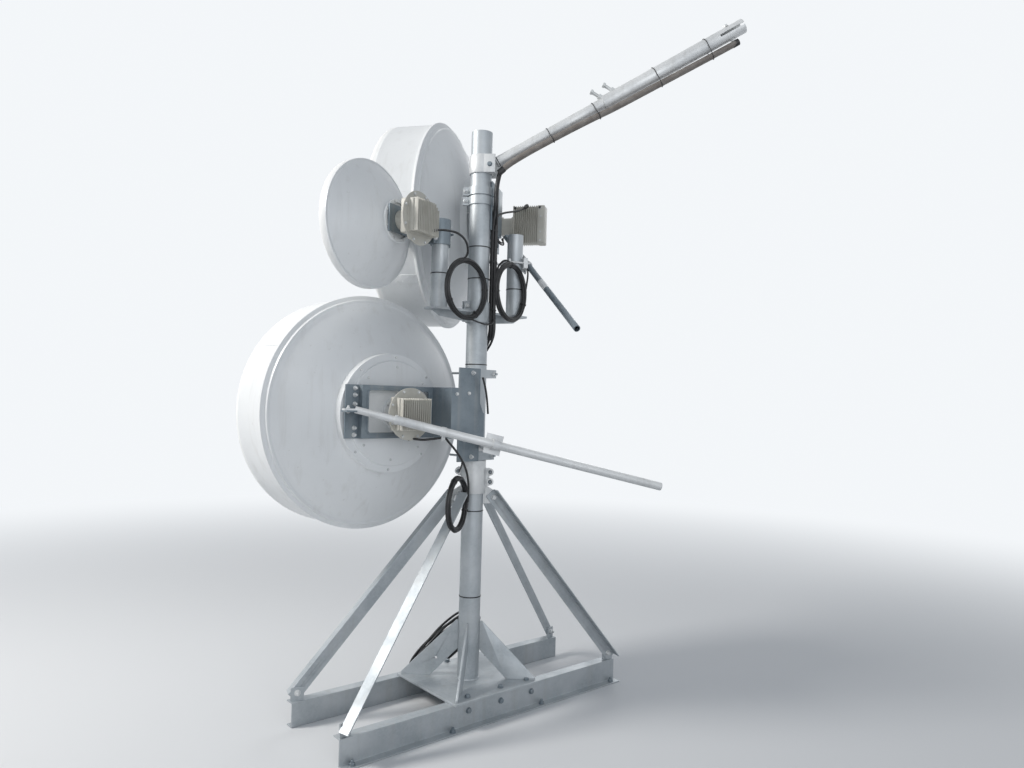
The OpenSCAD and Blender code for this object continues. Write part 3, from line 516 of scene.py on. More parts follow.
# One bolt head and one nut on its stud, copied wherever the real ones are
fastenerSettings = {
    "washer": 0.0125,
    "washerThick": 0.0025,
    "washerEdge": 0.0008,
    "washerLip": 0.0006,
    "washerSides": 20,
    "corner": 0.0107,  # half of the hexagon over its corners
    "tall": 0.008,
    "chamfer": 0.0014,
    "chamferShare": 0.86,
    "stud": 0.006,
    "studOut": 0.009,
    "studTip": 0.0012,
    "studSides": 12,
}


def hexPiece(name, settings, studOut):
    washer, thick, corner = settings["washer"], settings["washerThick"], settings["corner"]
    top = thick + settings["tall"]
    narrow, lip = washer - settings["washerEdge"], settings["washerLip"]
    parts = [turned("washer", [(narrow, 0), (washer, lip), (washer, thick - lip), (narrow, thick)],
                    sides=settings["washerSides"])]
    parts.append(turned("hex", [(corner, thick), (corner, top - settings["chamfer"]),
                                (corner * settings["chamferShare"], top)], sides=6))
    if studOut > 0:
        stud = settings["stud"]
        tip = stud - settings["studTip"]
        rows = [(stud, top - 0.002), (stud, top + studOut - 0.001), (tip, top + studOut)]
        parts.append(turned("stud", rows, sides=settings["studSides"]))
    return joined(name, parts)


masters = {
    "head": hexPiece("headMaster", fastenerSettings, 0.0),
    "nut": hexPiece("nutMaster", fastenerSettings, fastenerSettings["studOut"]),
}


def fastened(name, rows, place=Matrix(), size=1.0, finish="zinc"):
    # rows of (kind, point, direction), with the point on the face under the washer
    pieces = []
    for kind, point, axis in rows:
        spin = Matrix.Rotation(random.uniform(0, 1), 4, "Z")
        spot = place @ Matrix.Translation(point) @ towards(axis) @ spin
        pieces.append(copied(masters[kind], spot @ Matrix.Scale(size, 4)))
    finishPiece(joined(name, pieces), "galvanised_steel", finish, degrees=28)


def boltCircle(name, place, radius, count, height, size):
    # heads round the +Y axis, facing the rear, the first a little above +X
    first = 22.5
    rows = []
    for k in range(count):
        angle = math.radians(first + 360 / count * k)
        rows.append(("head", (radius * math.cos(angle), height, radius * math.sin(angle)), (0, -1, 0)))
    fastened(name, rows, place, size)


# Black nylon ties: a strap round +Z with its square head
tieSettings = {
    "thick": 0.0016,
    "width": 0.0048,
    "sides": 40,
    "headLong": 0.006,
    "headHalfWide": 0.0045,
    "headHalfTall": 0.004,
}


def tie(name, radius, place, width=tieSettings["width"]):
    outer = radius + tieSettings["thick"]
    rows = [(radius, -width / 2), (outer, -width / 2), (outer, width / 2), (radius, width / 2)]
    strap = turned(name, rows, sides=tieSettings["sides"], ring=True)
    halfWide, halfTall = tieSettings["headHalfWide"], tieSettings["headHalfTall"]
    head = block("tieHead", (radius, -halfWide, -halfTall),
                 (radius + tieSettings["headLong"], halfWide, halfTall), bevel=0.001, segments=1)
    piece = joined(name, [strap, head])
    settle(piece, place)
    return piece


# Each antenna has its own frame, +Y along its beam and the hub's face at zero
antennaSettings = {
    "aside": 0.455,  # from the mast's axis to the drums' axes
    "ahead": 0.105,
    "lower": {"height": 1.533, "bearing": -4.3, "side": -1},
    "upper": {"height": 2.655, "bearing": -36.7, "side": 1},
    "dishPipe": (-0.255, 0, 2.475),
    "dishBearing": -20.4,
    "dishOffset": (-0.3, 0.05, 0),
}


def pipeFrame(row):
    # on the mast's axis at the antenna's height, turned like the antenna
    return shift(0, 0, row["height"]) @ turn(-row["bearing"])


def drumFrame(settings, row):
    return pipeFrame(row) @ shift(row["side"] * settings["aside"], settings["ahead"], 0)


lowerDrum = drumFrame(antennaSettings, antennaSettings["lower"])
upperDrum = drumFrame(antennaSettings, antennaSettings["upper"])
dishPipe = shift(*antennaSettings["dishPipe"]) @ turn(-antennaSettings["dishBearing"])
smallDish = dishPipe @ shift(*antennaSettings["dishOffset"])
forward = turn(-90, "X")
print("helpers and fasteners ready")


# Drums: hub disc, ring, dished back with its rolled rim, shroud with a riveted seam, radome
drumSettings = {
    "hub": 0.265,
    "ring": 0.305,
    "step": 0.016,
    "rim": 0.600,
    "band": 0.610,
    "depth": 0.220,
    "bandWide": 0.018,
    "beadWide": 0.030,
    "dishRings": 12,
    "shroud": 0.478,
    "skin": 0.004,
    "front": 0.538,
    "crown": 0.018,
    "roll": 0.030,
    "rollSteps": 6,
    "centre": 0.004,  # radius of the small cap that closes a turned face
    "sides": 144,
    "seamHalf": 0.030,
    "seamThick": 0.0022,
    "rivets": 6,
    "rivetAside": 0.018,
    "rivetFrom": 0.020,  # from the shroud's rear edge
    "rivetTo": 0.035,  # from its front edge
    "rivet": [(0.004, 0), (0.0034, 0.0013), (0.0016, 0.002)],
}


def drumBack(name, settings, place, node):
    hub, ring, step = settings["hub"], settings["ring"], settings["step"]
    rim, band, depth = settings["rim"], settings["band"], settings["depth"]
    centre = settings["centre"]
    rows = [(centre, 0), (hub - 0.005, 0), (hub - 0.0015, 0.0015), (hub, 0.005),
            (hub + 0.001, step - 0.004), (hub + 0.005, step - 0.0005), (ring - 0.008, step),
            (ring - 0.003, step + 0.0015)]
    # the dished part is a parabola, with a bead before the rim
    count = settings["dishRings"]
    for i in range(count + 1):
        radius = ring + (rim - settings["beadWide"] - ring) * i / count
        rows.append((radius, depth * (radius / rim) ** 2))
    bead = depth * ((rim - 0.024) / rim) ** 2
    rows += [(rim - 0.025, bead - 0.004), (rim - 0.020, bead - 0.0055), (rim - 0.014, bead - 0.003),
             (rim - 0.010, depth - 0.006), (rim - 0.002, depth - 0.001)]
    # the band round the rim, then the inside back to the middle
    outer = depth + settings["bandWide"]
    rows += [(band - 0.003, depth), (band, depth + 0.003), (band, outer - 0.005),
             (band - 0.003, outer - 0.001), (rim - 0.004, outer), (rim - 0.008, depth + 0.004),
             (ring, depth * 0.27 + 0.006), (centre, 0.006)]
    back = turned(name, rows, place @ forward, settings["sides"])
    finishPiece(back, "drum_paint", nodes=[node], degrees=40)


def drumShroud(name, settings, place, node, seamDegrees):
    rim, end, skin = settings["rim"], settings["shroud"], settings["skin"]
    start = settings["depth"] + settings["bandWide"]
    lip = rim + 0.0008
    rows = [(rim, start), (rim, end - 0.012), (lip, end - 0.010), (lip, end - 0.002), (rim, end),
            (rim - skin, end), (rim - skin, start)]
    parts = [turned(name, rows, place @ forward, settings["sides"], ring=True)]
    spin = place @ forward @ turn(seamDegrees)
    half, outer = settings["seamHalf"], rim + settings["seamThick"]
    parts.append(block("seam", (rim - 0.001, -half, start + 0.004), (outer, half, end - 0.014), spin,
                       bevel=0.0008))
    low, high = start + settings["rivetFrom"], end - settings["rivetTo"]
    for side in (-1, 1):
        for k in range(settings["rivets"]):
            height = low + k * (high - low) / (settings["rivets"] - 1)
            spot = spin @ shift(rim + 0.002, side * settings["rivetAside"], height) @ turn(90, "Y")
            parts.append(turned("rivet", settings["rivet"], spot, 10))
    finishPiece(joined(name, parts), "drum_paint", nodes=[node], degrees=40)


def drumFront(name, settings, place, node):
    rim, start, end = settings["rim"], settings["shroud"], settings["front"]
    roll, steps = settings["roll"], settings["rollSteps"]
    crown, centre = settings["crown"], settings["centre"]
    inner, middle = rim - settings["skin"], end - crown - roll
    # the skin's inside, its rolled edge and its crowned face
    rows = [(centre, end - 0.004), ((rim - 0.034) * 0.5, end - 0.009), (rim - 0.034, end - 0.022),
            (inner, end - 0.046), (inner, start), (rim, start), (rim, middle)]
    for i in range(1, steps + 1):
        angle = math.radians(90 / steps * i)
        rows.append((rim - roll + roll * math.cos(angle), middle + roll * math.sin(angle)))
    for i in range(1, steps + 1):
        radius = (rim - roll) * (1 - i / steps) + centre
        rows.append((radius, end - crown * (radius / rim) ** 2))
    front = turned(name, rows, place @ forward, settings["sides"])
    finishPiece(front, "radome", nodes=[node], degrees=40)


hubScrewSettings = {"pairs": 8, "start": 87, "ringInset": 0.020, "hubInset": 0.030, "size": 0.55}


def hubScrews(name, drum, settings, place):
    rows = []
    circles = ((drum["ring"] - settings["ringInset"], drum["step"]),
               (drum["hub"] - settings["hubInset"], 0))
    for k in range(settings["pairs"]):
        angle = math.radians(settings["start"] + 360 / settings["pairs"] * k)
        for radius, height in circles:
            rows.append(("head", (radius * math.cos(angle), height, radius * math.sin(angle)), (0, -1, 0)))
    fastened(name, rows, place, settings["size"])


for level, place, seamDegrees in (("lower", lowerDrum, 215), ("upper", upperDrum, 140)):
    drumBack(level + "DrumBack", drumSettings, place, level + "_reflector")
    drumShroud(level + "DrumShroud", drumSettings, place, level + "_shroud", seamDegrees)
    drumFront(level + "DrumRadome", drumSettings, place, level + "_radome")
    hubScrews(level + "HubScrews", drumSettings, hubScrewSettings, place)
print("drums done")


# Steel from the frame keeps its shape and gets slightly broken edges
edgeSettings = {"weld": 0.00002, "width": 0.0012, "segments": 2, "degrees": 38}
edgedNodes = ["front_rail", "rear_rail", "base_plate", "gussets", "brace_collar", "brace_front_left",
              "brace_front_right", "brace_rear_left", "brace_rear_right", "lower_bracket", "upper_bracket",
              "dish_bracket", "cross_arm"]
for nodeName in edgedNodes:
    weld = cadNodes[nodeName].modifiers.new("weld", "WELD")
    weld.merge_threshold = edgeSettings["weld"]
    edge = cadNodes[nodeName].modifiers.new("edge", "BEVEL")
    edge.width = edgeSettings["width"]
    edge.segments = edgeSettings["segments"]
    edge.limit_method = "ANGLE"
    edge.angle_limit = math.radians(edgeSettings["degrees"])
print("steel edges broken")


# Box radios behind the lower drum and the small dish, fins to the rear
boxRadioSettings = {
    "half": 0.090,
    "tall": 0.0825,
    "housing": 0.055,
    "finRoot": 0.006,
    "fin": 0.045,
    "finThick": 0.0036,
    "pitch": 0.013,
    "finCount": 14,
    "endRail": 0.020,
    "flange": 0.130,
    "flangeHole": 0.05,
    "flangeThick": 0.006,
    "flangeAt": 0.046,  # behind the housing's front
    "neck": 0.048,
    "glands": ((0.055, -0.030), (-0.055, -0.030), (0.0, -0.020)),
}
neckSettings = {"collar": 0.008, "lip": 0.012, "sides": 48}
# cable gland under a radio
glandRows = [(0.009, 0), (0.009, 0.010), (0.012, 0.010), (0.012, 0.017), (0.0072, 0.018), (0.00594, 0.026)]


def roundFlange(settings, place, back):
    radius, hole, thick = settings["flange"], settings["flangeHole"], settings["flangeThick"]
    rows = [(hole, 0), (radius - 0.002, 0), (radius, 0.002), (radius, thick - 0.002),
            (radius - 0.002, thick), (hole, thick)]
    return turned("flange", rows, place @ shift(0, back, 0) @ forward, ring=True)


def neckTube(settings, place, radius, back):
    collar, lip = radius + settings["collar"], radius + settings["lip"]
    rows = [(radius, -back), (collar, -back), (collar, -back + 0.010), (radius, -back + 0.012),
            (radius, -0.016), (lip, -0.014), (lip, -0.001), (radius, 0.0)]
    return turned("neck", rows, place @ forward, settings["sides"])


def boxRadio(name, settings, place, standoff, node, cutCorner):
    half, tall, fin, root = settings["half"], settings["tall"], settings["fin"], settings["finRoot"]
    front, back = -standoff, -standoff - settings["housing"]
    parts = [block("housing", (-half, back, -tall), (half, front, tall), place, 0.006, 3)]
    parts.append(neckTube(neckSettings, place, settings["neck"], standoff))
    parts.append(roundFlange(settings, place, front - settings["flangeAt"]))
    parts.append(block("finRoot", (-half + 0.002, back - root, -tall + 0.003),
                       (half - 0.002, back, tall - 0.003), place))
    thick = settings["finThick"] / 2
    plate = block("fin", (-thick, back - fin, -tall + 0.004), (thick, back - 0.004, tall - 0.004),
                  bevel=0.0009)
    for i in range(settings["finCount"]):
        # fins near the cut corner are shorter
        spot = settings["pitch"] * (i - (settings["finCount"] - 1) / 2)
        drop = max(0.0, spot - half + cutCorner) if cutCorner else 0.0
        share = 1 - drop / (2 * tall)
        shorter = shift(spot, 0, tall * (share - 1)) @ Matrix.Diagonal((1, 1, share, 1))
        parts.append(copied(plate, place @ shorter))
    bpy.data.objects.remove(plate)
    for side in (-1, 1):
        middle = side * (half - 0.002)
        top = tall - 0.006 - (cutCorner if side > 0 else 0)
        parts.append(block("endRail", (middle - 0.003, back - settings["endRail"], -tall + 0.006),
                           (middle + 0.003, back, top), place, 0.001))
    for x, y in settings["glands"]:
        down = shift(x, front + y, -tall + 0.001) @ turn(180, "X")
        parts.append(turned("gland", glandRows, place @ down, 12))
    finishPiece(joined(name, parts), "radio_paint", nodes=[node], degrees=30)


radioBoltSettings = {"circle": 0.117, "count": 8, "size": 0.6}
boxRadioRows = {
    "lower": {"place": lowerDrum, "standoff": 0.095, "cutCorner": 0.0},
    "dish": {"place": smallDish, "standoff": 0.090, "cutCorner": 0.034},
}
for level, row in boxRadioRows.items():
    boxRadio(level + "RadioBody", boxRadioSettings, row["place"], row["standoff"], level + "_radio",
             row["cutCorner"])
for level, row in boxRadioRows.items():
    boltCircle(level + "RadioBolts", row["place"], radioBoltSettings["circle"], radioBoltSettings["count"],
               -row["standoff"] - boxRadioSettings["flangeAt"], radioBoltSettings["size"])


# Upper radio on its long neck: fins on both sides, a smooth cover behind
sideRadioSettings = {
    "half": 0.046,
    "core": 0.030,
    "tall": 0.1125,
    "start": 0.190,
    "finned": 0.145,
    "long": 0.190,
    "pitch": 0.012,
    "fins": 11,
    "finThick": 0.0032,
    "neck": 0.048,
    "neckRings": (0.060, 0.125),
    "plugs": (0.204, 0.262, 0.352),
    "plugRows": [(0.007, 0), (0.007, 0.005), (0.0055, 0.0065), (0.003, 0.0068)],
    "screwsAt": 0.357,
    "screwHeights": (-0.095, -0.045, 0.045, 0.095),
    "screwSize": 0.42,
}


def sideRadio(name, settings, place, node):
    half, core, tall, neck = settings["half"], settings["core"], settings["tall"], settings["neck"]
    start = -settings["start"]
    finned, back = start - settings["finned"], start - settings["long"]
    parts = [block("core", (-core, finned - 0.004, -tall + 0.004), (core, start - 0.002, tall - 0.004),
                   place, 0.003)]
    parts.append(block("cover", (-half, back, -tall), (half, finned, tall), place, 0.007, 3))
    parts.append(block("face", (-half, start - 0.010, -tall), (half, start, tall), place, 0.003))
    thick = settings["finThick"] / 2
    plate = block("fin", (-half, -thick, -tall + 0.002), (half, thick, tall - 0.002), bevel=0.0009)
    for i in range(1, settings["fins"] + 1):
        parts.append(copied(plate, place @ shift(0, start - 0.008 - i * settings["pitch"], 0)))
    bpy.data.objects.remove(plate)
    parts.append(neckTube(neckSettings, place, neck, settings["start"]))
    rings = [(neck, 0), (neck + 0.008, 0.002), (neck + 0.008, 0.010), (neck, 0.012)]
    for behind in settings["neckRings"]:
        spot = place @ shift(0, -behind, 0) @ forward
        parts.append(turned("neckRing", rings, spot, neckSettings["sides"]))
    finishPiece(joined(name, parts), "radio_paint", nodes=[node], degrees=30)
    plugs = []
    for behind in settings["plugs"]:
        out = shift(-half + 0.001, -behind, tall - 0.014) @ turn(-90, "Y")
        plugs.append(turned("plug", settings["plugRows"], place @ out, 16))
    finishPiece(joined(name + "Plugs", plugs), "cable_jacket")


def coverScrews(name, settings, place):
    rows = []
    for z in settings["screwHeights"]:
        for side in (-1, 1):
            rows.append(("head", (side * settings["half"], -settings["screwsAt"], z), (side, 0, 0)))
    fastened(name, rows, place, settings["screwSize"])


sideRadio("upperRadioBody", sideRadioSettings, upperDrum, "upper_radio")
coverScrews("upperRadioScrews", sideRadioSettings, upperDrum)
print("radios done")


# Small dish: cone with a rolled rim and a white front skirt
dishSettings = {
    "hub": 0.095,
    "radius": 0.320,
    "depth": 0.170,
    "bend": 0.62,  # the back bends at this share of the radius and of the depth
    "bendDepth": 0.42,
    "flare": 1.05,
    "steps": 8,
    "skirt": 0.045,
    "roll": 0.014,
    "rollSteps": 5,
    "crown": 0.010,
    "centre": 0.004,
    "sides": 112,
    "hubRing": [(0.088, -0.012), (0.104, -0.012), (0.106, -0.010), (0.106, -0.002), (0.104, 0.0),
                (0.088, 0.0)],
    "boltCircle": 0.097,
    "bolts": 8,
    "boltSize": 0.5,
}


def dishBack(name, settings, place):
    hub, radius, depth = settings["hub"], settings["radius"], settings["depth"]
    bend, bendDepth = radius * settings["bend"], depth * settings["bendDepth"]
    steps = settings["steps"]
    rows = [(settings["centre"], 0), (hub - 0.002, 0), (hub, 0.002), (hub + 0.004, 0.013)]
    for i in range(1, steps + 1):
        out = hub + 0.006 + (bend - hub - 0.006) * i / steps
        rows.append((out, 0.014 + (bendDepth - 0.014) * i / steps))
    for i in range(1, steps + 1):
        out = bend + (radius - 0.012 - bend) * i / steps
        rows.append((out, bendDepth + (depth - 0.006 - bendDepth) * (i / steps) ** settings["flare"]))
    rows += [(radius - 0.003, depth - 0.0065), (radius, depth - 0.004), (radius, depth),
             (radius - 0.016, depth), (bend - 0.003, bendDepth + 0.004), (hub, 0.018),
             (settings["centre"], 0.004)]
    back = turned(name, rows, place @ forward, settings["sides"])
    finishPiece(back, "drum_paint", nodes=["dish_reflector"], degrees=40)


def dishFront(name, settings, place):
    radius, start = settings["radius"], settings["depth"]
    roll, steps = settings["roll"], settings["rollSteps"]
    end = start + settings["skirt"]
    rows = [(settings["centre"], end + 0.006), (radius - 0.020, end - 0.004), (radius - 0.004, end - 0.018),
            (radius - 0.004, start), (radius - 0.001, start), (radius, start + 0.002), (radius, end - roll)]
    for i in range(1, steps + 1):
        angle = math.radians(90 / steps * i)
        rows.append((radius - roll + roll * math.cos(angle), end - roll + roll * math.sin(angle)))
    crown = end + settings["crown"]
    rows += [((radius - roll) * 0.5, end + settings["crown"] * 0.75), (settings["centre"], crown)]
    front = turned(name, rows, place @ forward, settings["sides"])
    finishPiece(front, "radome", nodes=["dish_radome"], degrees=40)


dishBack("smallDishBack", dishSettings, smallDish)
dishFront("smallDishFront", dishSettings, smallDish)
finishPiece(turned("hubRing", dishSettings["hubRing"], smallDish @ forward, ring=True), "drum_paint")
boltCircle("smallHubBolts", smallDish, dishSettings["boltCircle"], dishSettings["bolts"],
           dishSettings["hubRing"][0][1], dishSettings["boltSize"])
print("small dish done")


# Bolts, nuts and washers of the braces and the base frame
braceBoltSettings = {
    "foot": (0.845, 0.245, 0.158),
    "footShift": 0.017,  # the base frame lies a little toward +Y
    "topOut": 0.11915,
    "topHeight": 1.085,
    "headAt": 0.010,
    "nutAt": 0.004,
    "size": 1.3,
}


def braceBolts(settings):
    rows = []
    x, y, z = settings["foot"]
    for sx in (-1, 1):
        for sy in (-1, 1):
            foot = Vector((sx * x, sy * y + settings["footShift"], 0))
            out = foot.normalized()
            across = Vector((-out.y, out.x, 0)) * (sx * sy)
            top = out * settings["topOut"] + Vector((0, 0, settings["topHeight"]))
            for spot in (foot + Vector((0, 0, z)), top):
                rows.append(("head", spot + across * settings["headAt"], across))
                rows.append(("nut", spot - across * settings["nutAt"], -across))
    fastened("braceBolts", rows, size=settings["size"])


baseBoltSettings = {
    "anchorsX": (-0.83, -0.29, 0.29, 0.83),
    "anchorY": 0.272,
    "anchorZ": 0.006,
    "plateX": (-0.168, 0.044, 0.222),
    "plateY": (-0.222, 0.252),
    "plateZ": 0.132,
    "webX": (-0.18, 0.026, 0.234),
    "webY": 0.248,
    "webNutY": 0.242,
    "webZ": 0.078,
    "size": 1.25,
}


def baseBolts(settings):
    # Anchor nuts, plate bolts and web bolts take the darker weathered finish: partly rust, partly painted
    # shade
    rows = []
    for side in (-1, 1):
        for x in settings["anchorsX"]:
            rows.append(("nut", (x, side * settings["anchorY"], settings["anchorZ"]), (0, 0, 1)))
    fastened("anchorNuts", rows, size=settings["size"], finish="weathered_steel")
    rows = []
    for x in settings["plateX"]:
        for y in settings["plateY"]:
            rows.append(("head", (x, y, settings["plateZ"]), (0, 0, 1)))
    for x in settings["webX"]:
        rows.append(("head", (x, -settings["webY"], settings["webZ"]), (0, -1, 0)))
        rows.append(("nut", (x, -settings["webNutY"], settings["webZ"]), (0, 1, 0)))
        rows.append(("head", (x, settings["webY"], settings["webZ"]), (0, 1, 0)))
    fastened("plateBolts", rows, size=settings["size"], finish="weathered_steel")


# Nuts on the drums' brackets, one bracket the mirror of the other
bracketSettings = {
    "nutsX": 0.238,
    "nutsZ": (0.121, 0.088, 0.044, -0.072, -0.105),
    "loneHead": (-0.274, 0.010),
    "face": -0.008,
    "size": 0.95,
    "saddle": [("head", (0.269, -0.172, 0.107), (0, -1, 0)), ("head", (0.351, -0.172, 0.112), (0, -1, 0)),
               ("nut", (-0.317, -0.078, 0.023), (0, 0, 1))],
    "saddleSize": 0.8,
}


def bracketNuts(name, settings, place, mirror):
    face = settings["face"]
    rows = []
    for side in (-mirror, mirror):
        for z in settings["nutsZ"]:
            rows.append(("nut", (side * settings["nutsX"], face, z), (0, -1, 0)))
    x, z = settings["loneHead"]
    rows.append(("head", (mirror * x, face, z), (0, -1, 0)))
    fastened(name, rows, place, settings["size"])


# Clamps round the mast and the stubs: bolts through both ears
lowerClampSettings = {"rodX": 0.080, "rodZ": 0.220, "near": (-0.06715, -0.05915), "far": 0.012}
earSettings = {
    "upperClampBolts": {"place": shift(0, 0, 2.655) @ turn(-40), "x": 0.080, "heights": (0.030, 0.082)},
    "crossArmBolts": {"place": shift(0, 0, 2.087), "x": 0.080, "heights": (-0.035, -0.005, 0.025)},
    "dishClampBolts": {"place": dishPipe, "x": 0.0635, "heights": (-0.040, 0.0, 0.040)},
}
earFace = 0.012  # half of both ears with the gap between them


def lowerClampNuts(settings, place):
    rows = []
    for side, near in zip((-1, 1), settings["near"]):
        for z in (-settings["rodZ"], settings["rodZ"]):
            rows.append(("nut", (side * settings["rodX"], near, z), (0, -1, 0)))
            rows.append(("nut", (side * settings["rodX"], settings["far"], z), (0, 1, 0)))
    fastened("lowerClampNuts", rows, place)


def earBolts(name, row):
    rows = []
    for side in (-1, 1):
        for z in row["heights"]:
            rows.append(("head", (side * row["x"], -earFace, z), (0, -1, 0)))
            rows.append(("nut", (side * row["x"], earFace, z), (0, 1, 0)))
    fastened(name, rows, row["place"])


braceBolts(braceBoltSettings)
baseBolts(baseBoltSettings)
bracketNuts("lowerBracketNuts", bracketSettings, lowerDrum, 1)
bracketNuts("upperBracketNuts", bracketSettings, upperDrum, -1)
fastened("saddleBolts", bracketSettings["saddle"], lowerDrum, bracketSettings["saddleSize"])
lowerClampNuts(lowerClampSettings, pipeFrame(antennaSettings["lower"]))
for name, row in earSettings.items():
    earBolts(name, row)
print("bolts done")


# Cables. Three run up the mast from the floor, four more join them at the cross arm.
cableSettings = {"radius": 0.0064, "thin": 0.0058}
trunkSettings = {
    "apart": 0.0072,  # from the bundle's middle to the three long cables
    "wideApart": 0.0134,  # the same where the four others run between them
    "widenFrom": 1.80,
    "widenOver": 0.19,
    "narrowAt": 2.68,
    "narrowOver": 0.10,
    "twist": 9,
    "twistRate": 5.0,
    "long": {"from": 0.0, "to": 3.0, "bearings": (90, 210, 330)},
    "short": {"from": 1.93, "to": 2.58, "bearings": (30, 150, 270)},
    "middleOff": 0.0006,
}
trunkRoute = [
    (0.120, 0.180, 0.388), (0.084, 0.140, 0.428), (0.046, 0.098, 0.478), (0.022, 0.080, 0.560),
    (0.022, 0.079, 0.900), (0.022, 0.079, 1.300), (0.023, 0.079, 1.650), (0.040, 0.074, 1.790),
    (0.062, 0.056, 1.840), (0.080, 0.024, 1.890), (0.082, -0.012, 1.940), (0.072, -0.038, 1.990),
    (0.067, -0.042, 2.060), (0.067, -0.042, 2.200), (0.067, -0.042, 2.400), (0.067, -0.042, 2.560),
    (0.058, -0.058, 2.620), (0.044, -0.080, 2.670), (0.041, -0.084, 2.720), (0.044, -0.086, 2.775),
    (0.050, -0.089, 2.812), (0.052, -0.096, 2.838),
]


def trunkCable(settings, stretch, degrees, centre=False):
    points = []
    for x, y, z in trunkRoute:
        if z < stretch["from"] or z > stretch["to"]:
            continue
        share = min(1.0, max(0.0, (z - settings["widenFrom"]) / settings["widenOver"]))
        share = min(share, max(0.0, (settings["narrowAt"] - z) / settings["narrowOver"]))
        offset = settings["apart"] + share * (settings["wideApart"] - settings["apart"])
        if centre:
            offset = settings["middleOff"]
        angle = math.radians(degrees + settings["twist"] * math.sin(z * settings["twistRate"]))
        points.append((x + offset * math.cos(angle), y + offset * math.sin(angle), z))
    return tube("trunkCable", points, cableSettings["radius"], steps=5)


bundle = []
for stretch in (trunkSettings["long"], trunkSettings["short"]):
    for degrees in stretch["bearings"]:
        bundle.append(trunkCable(trunkSettings, stretch, degrees))
bundle.append(trunkCable(trunkSettings, trunkSettings["short"], 0, centre=True))
finishPiece(joined("trunkBundle", bundle), "cable_jacket", nodes=["cable_trunk"], degrees=60)


# Spare cable wound up and tied. The place is the coil's middle and the radius that of its ring.
coilRows = {
    "leftCoilTurns": {"place": (-0.155, -0.104, 2.184), "bearing": -12, "radius": 0.147, "turns": 6,
                      "node": "left_coil", "ties": (150, 60, 355)},
    "rightCoilTurns": {"place": (0.145, -0.103, 2.201), "bearing": -20, "radius": 0.149, "turns": 6,
                       "node": "right_coil", "ties": (175, 20, 265)},
    "lowerCoilTurns": {"place": (-0.184, -0.113, 1.078), "bearing": -34, "radius": 0.131, "turns": 5,
                       "node": "lower_coil", "ties": (20, 245)},
    "baseCoilTurns": {"place": (0.082, 0.327, 0.205), "bearing": -16.3, "radius": 0.227, "turns": 5,
                      "node": "base_coil", "ties": (270,), "tilt": 39, "thick": 0.0068, "spread": 0.018},
    "baseCoilLoose": {"place": (0.074, 0.318, 0.214), "bearing": -20, "radius": 0.226, "turns": 3,
                      "tilt": 32, "thick": 0.0064, "spread": 0.012},
}
coilSettings = {
    "thick": 0.0055,
    "spread": 0.0095,  # how far the turns lie from the ring's middle
    "perTurn": 12,
    "sway": 30,
    "ripple": 0.0012,
    "ripples": 3,
    "tieGap": 0.0008,
}


def coilPiece(name, row, settings):
    radius, turns = row["radius"], row["turns"]
    thick = row.get("thick", settings["thick"])
    spread = row.get("spread", settings["spread"])
    points = []
    for i in range(turns * settings["perTurn"] + 1):
        done = i / settings["perTurn"]
        angle = math.radians(-90 + 360 * done)
        sway = math.radians(settings["sway"]) * math.sin(angle) * turns / (turns - 1)
        around = 2 * math.pi * done / turns + sway
        ripple = settings["ripple"] * math.sin(settings["ripples"] * angle + done)
        size = radius + spread * math.cos(around) + ripple
        points.append((size * math.cos(angle), size * math.sin(angle), spread * math.sin(around)))
    place = shift(*row["place"]) @ turn(-row["bearing"]) @ turn(row.get("tilt", 0), "X") @ forward
    nodes = [row["node"]] if "node" in row else []
    finishPiece(tube(name, points, thick, place, steps=5), "cable_jacket", nodes=nodes, degrees=60)
    straps = []
    for degrees in row.get("ties", ()):
        angle = math.radians(degrees)
        spot = shift(radius * math.cos(angle), radius * math.sin(angle), 0)
        along = Vector((-math.sin(angle), math.cos(angle), 0))
        straps.append(tie("strap", spread + thick + settings["tieGap"], place @ spot @ towards(along)))
    if straps:
        finishPiece(joined(name + "Ties", straps), "cable_jacket")


for name, row in coilRows.items():
    coilPiece(name, row, coilSettings)

# Cables to the radios, each with its plug at the radio's end
jumperRows = {
    "dishJumperCable": {"node": "dish_jumper", "route": [
        (-0.470, -0.206, 2.416), (-0.440, -0.206, 2.424), (-0.410, -0.203, 2.432), (-0.350, -0.200, 2.440),
        (-0.290, -0.200, 2.436), (-0.240, -0.192, 2.414), (-0.204, -0.170, 2.380), (-0.192, -0.148, 2.348),
        (-0.206, -0.132, 2.326), (-0.238, -0.120, 2.303)]},
    "upperJumperCable": {"node": "upper_jumper", "route": [
        (0.410, 0.088, 2.755), (0.390, 0.078, 2.744), (0.360, 0.066, 2.726), (0.300, 0.046, 2.698),
        (0.240, 0.036, 2.680), (0.180, 0.022, 2.660), (0.126, 0.000, 2.632), (0.090, -0.024, 2.586),
        (0.080, -0.032, 2.540)]},
    "lowerJumperCable": {"node": "lower_jumper", "route": [
        (-0.453, -0.044, 1.447), (-0.449, -0.050, 1.424), (-0.405, -0.082, 1.408), (-0.345, -0.104, 1.411),
        (-0.300, -0.109, 1.415), (-0.272, -0.110, 1.416), (-0.244, -0.111, 1.392), (-0.206, -0.116, 1.352),
        (-0.170, -0.123, 1.302), (-0.140, -0.123, 1.248), (-0.118, -0.114, 1.188), (-0.102, -0.096, 1.128),
        (-0.095, -0.084, 1.080)]},
}
jumperPlug = [(0.0120, -0.004), (0.0120, 0.014), (0.0098, 0.016), (0.0098, 0.032), (0.0062, 0.048)]
